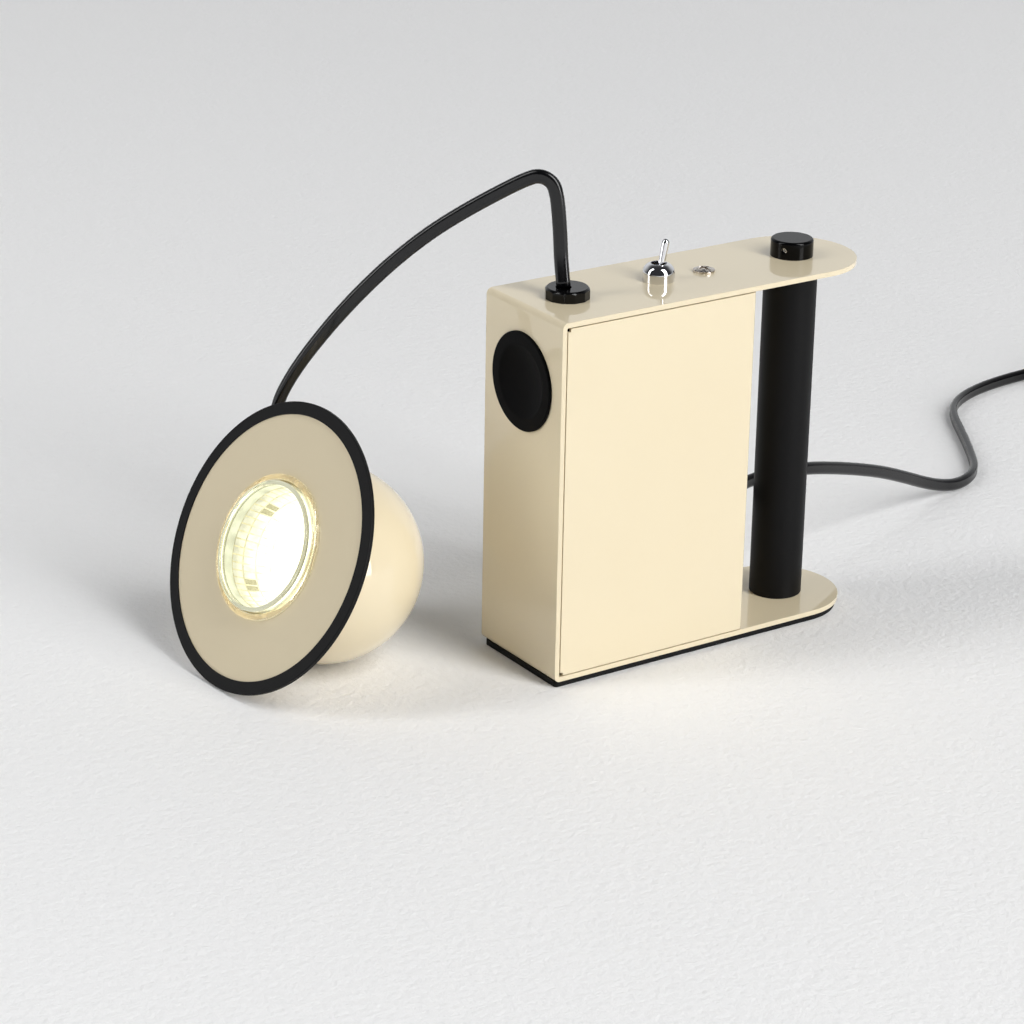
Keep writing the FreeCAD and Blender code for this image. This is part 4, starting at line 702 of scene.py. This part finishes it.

# Floor and light
# A seamless pale floor with a fine plaster grain, about 3 mm apart, with a painted glow that
# makes it a little paler far off, seen only by the camera and in reflections. A tall soft box
# stands to the right and a narrow one to the left, in a dark studio whose back wall is pale.

# Matt and nearly white: it shows the soft shadows and very little else.
floor_plaster = new_material("pale plastered floor")
where = add_node(floor_plaster, "ShaderNodeTexCoord")
grain = add_node(floor_plaster, "ShaderNodeTexNoise",
                 {"Vector": where.outputs["Object"], "Scale": 300.0, "Detail": 5.0,
                  "Roughness": 0.6})
relief = add_node(floor_plaster, "ShaderNodeBump",
                  {"Height": grain.outputs["Fac"], "Strength": 0.7, "Distance": 0.001})
away = add_node(floor_plaster, "ShaderNodeVectorMath", {0: where.outputs["Object"]},
                operation="LENGTH")
# A painted glow that grows with distance from the lamp, seen only by camera, glossy and
# transmission rays.
haze = add_node(floor_plaster, "ShaderNodeMapRange",
                {"Value": away.outputs["Value"], "From Min": 0.25, "From Max": 1.1,
                 "To Min": 0.02, "To Max": 0.1})
ray = add_node(floor_plaster, "ShaderNodeLightPath")
mirrored = add_node(floor_plaster, "ShaderNodeMath",
                    {0: ray.outputs["Is Glossy Ray"], 1: ray.outputs["Is Transmission Ray"]},
                    operation="MAXIMUM")
seen = add_node(floor_plaster, "ShaderNodeMath",
                {0: ray.outputs["Is Camera Ray"], 1: mirrored.outputs[0]}, operation="MAXIMUM")
pale = add_node(floor_plaster, "ShaderNodeMath",
                {0: haze.outputs["Result"], 1: seen.outputs[0]}, operation="MULTIPLY")
plaster = add_node(floor_plaster, "ShaderNodeBsdfPrincipled",
                   {"Base Color": linear("#f3f3f3"), "Roughness": 0.7, "IOR": 1.4,
                    "Specular IOR Level": 0.3, "Normal": relief.outputs["Normal"],
                    "Emission Color": linear("#ffffff"), "Emission Strength": pale.outputs[0]})
add_node(floor_plaster, "ShaderNodeOutputMaterial", {"Surface": plaster.outputs["BSDF"]})
floor_width, floor_drop = 12, 0.00005
bpy.ops.mesh.primitive_plane_add(size=floor_width, location=(0, 0, -floor_drop))
floor = bpy.context.object
floor.name = "floor"
floor.data.materials.append(floor_plaster)


def soft_box(name, direction, distance, size, power, aim_height=0.07):
    """A soft box that faces the middle of the lamp, of size (width, height) in metres."""
    lamp = bpy.data.lights.new(name, "AREA")
    lamp.shape = "RECTANGLE"
    lamp.size, lamp.size_y = size
    lamp.energy = power
    holder = bpy.data.objects.new(name, lamp)
    holder.location = Vector(direction).normalized() * distance + Vector((0, 0, aim_height))
    holder.rotation_euler = Vector(direction).to_track_quat("Z", "Y").to_euler()
    scene.collection.objects.link(holder)


soft_box("tall box on the right", (0.24, -0.81, 0.53), 4.0, (1.3, 5.1), 196.0)
soft_box("narrow box on the left", (-0.83, 0.27, 0.5), 2.4, (0.5, 3.05), 30.0)

studio = bpy.data.worlds.new("studio with a pale back wall")
scene.world = studio
studio.use_nodes = True
studio.node_tree.nodes.clear()
where = add_node(studio, "ShaderNodeTexCoord")
facing = add_node(studio, "ShaderNodeVectorMath",
                  {0: where.outputs["Generated"], 1: (0.56, 0.83, 0.0)},
                  operation="DOT_PRODUCT")
wall = add_node(studio, "ShaderNodeMapRange",
                {"Value": facing.outputs["Value"], "From Min": -0.1, "From Max": 0.95},
                interpolation_type="SMOOTHSTEP")
height = add_node(studio, "ShaderNodeSeparateXYZ", {"Vector": where.outputs["Generated"]})
open_top = add_node(studio, "ShaderNodeMapRange",
                    {"Value": height.outputs["Z"], "From Min": 0.5, "From Max": 0.8,
                     "To Min": 1.0, "To Max": 0.1})
lit_wall = add_node(studio, "ShaderNodeMath",
                    {0: wall.outputs["Result"], 1: open_top.outputs["Result"]},
                    operation="MULTIPLY")
shade = add_node(studio, "ShaderNodeMix",
                 {"Factor": lit_wall.outputs[0], 6: linear("#3a3a3c"), 7: linear("#f2f4f6")},
                 data_type="RGBA")
room = add_node(studio, "ShaderNodeBackground", {"Color": shade.outputs[2], "Strength": 0.85})
add_node(studio, "ShaderNodeOutputWorld", {"Surface": room.outputs["Background"]})

scene.view_settings.view_transform = "Standard"
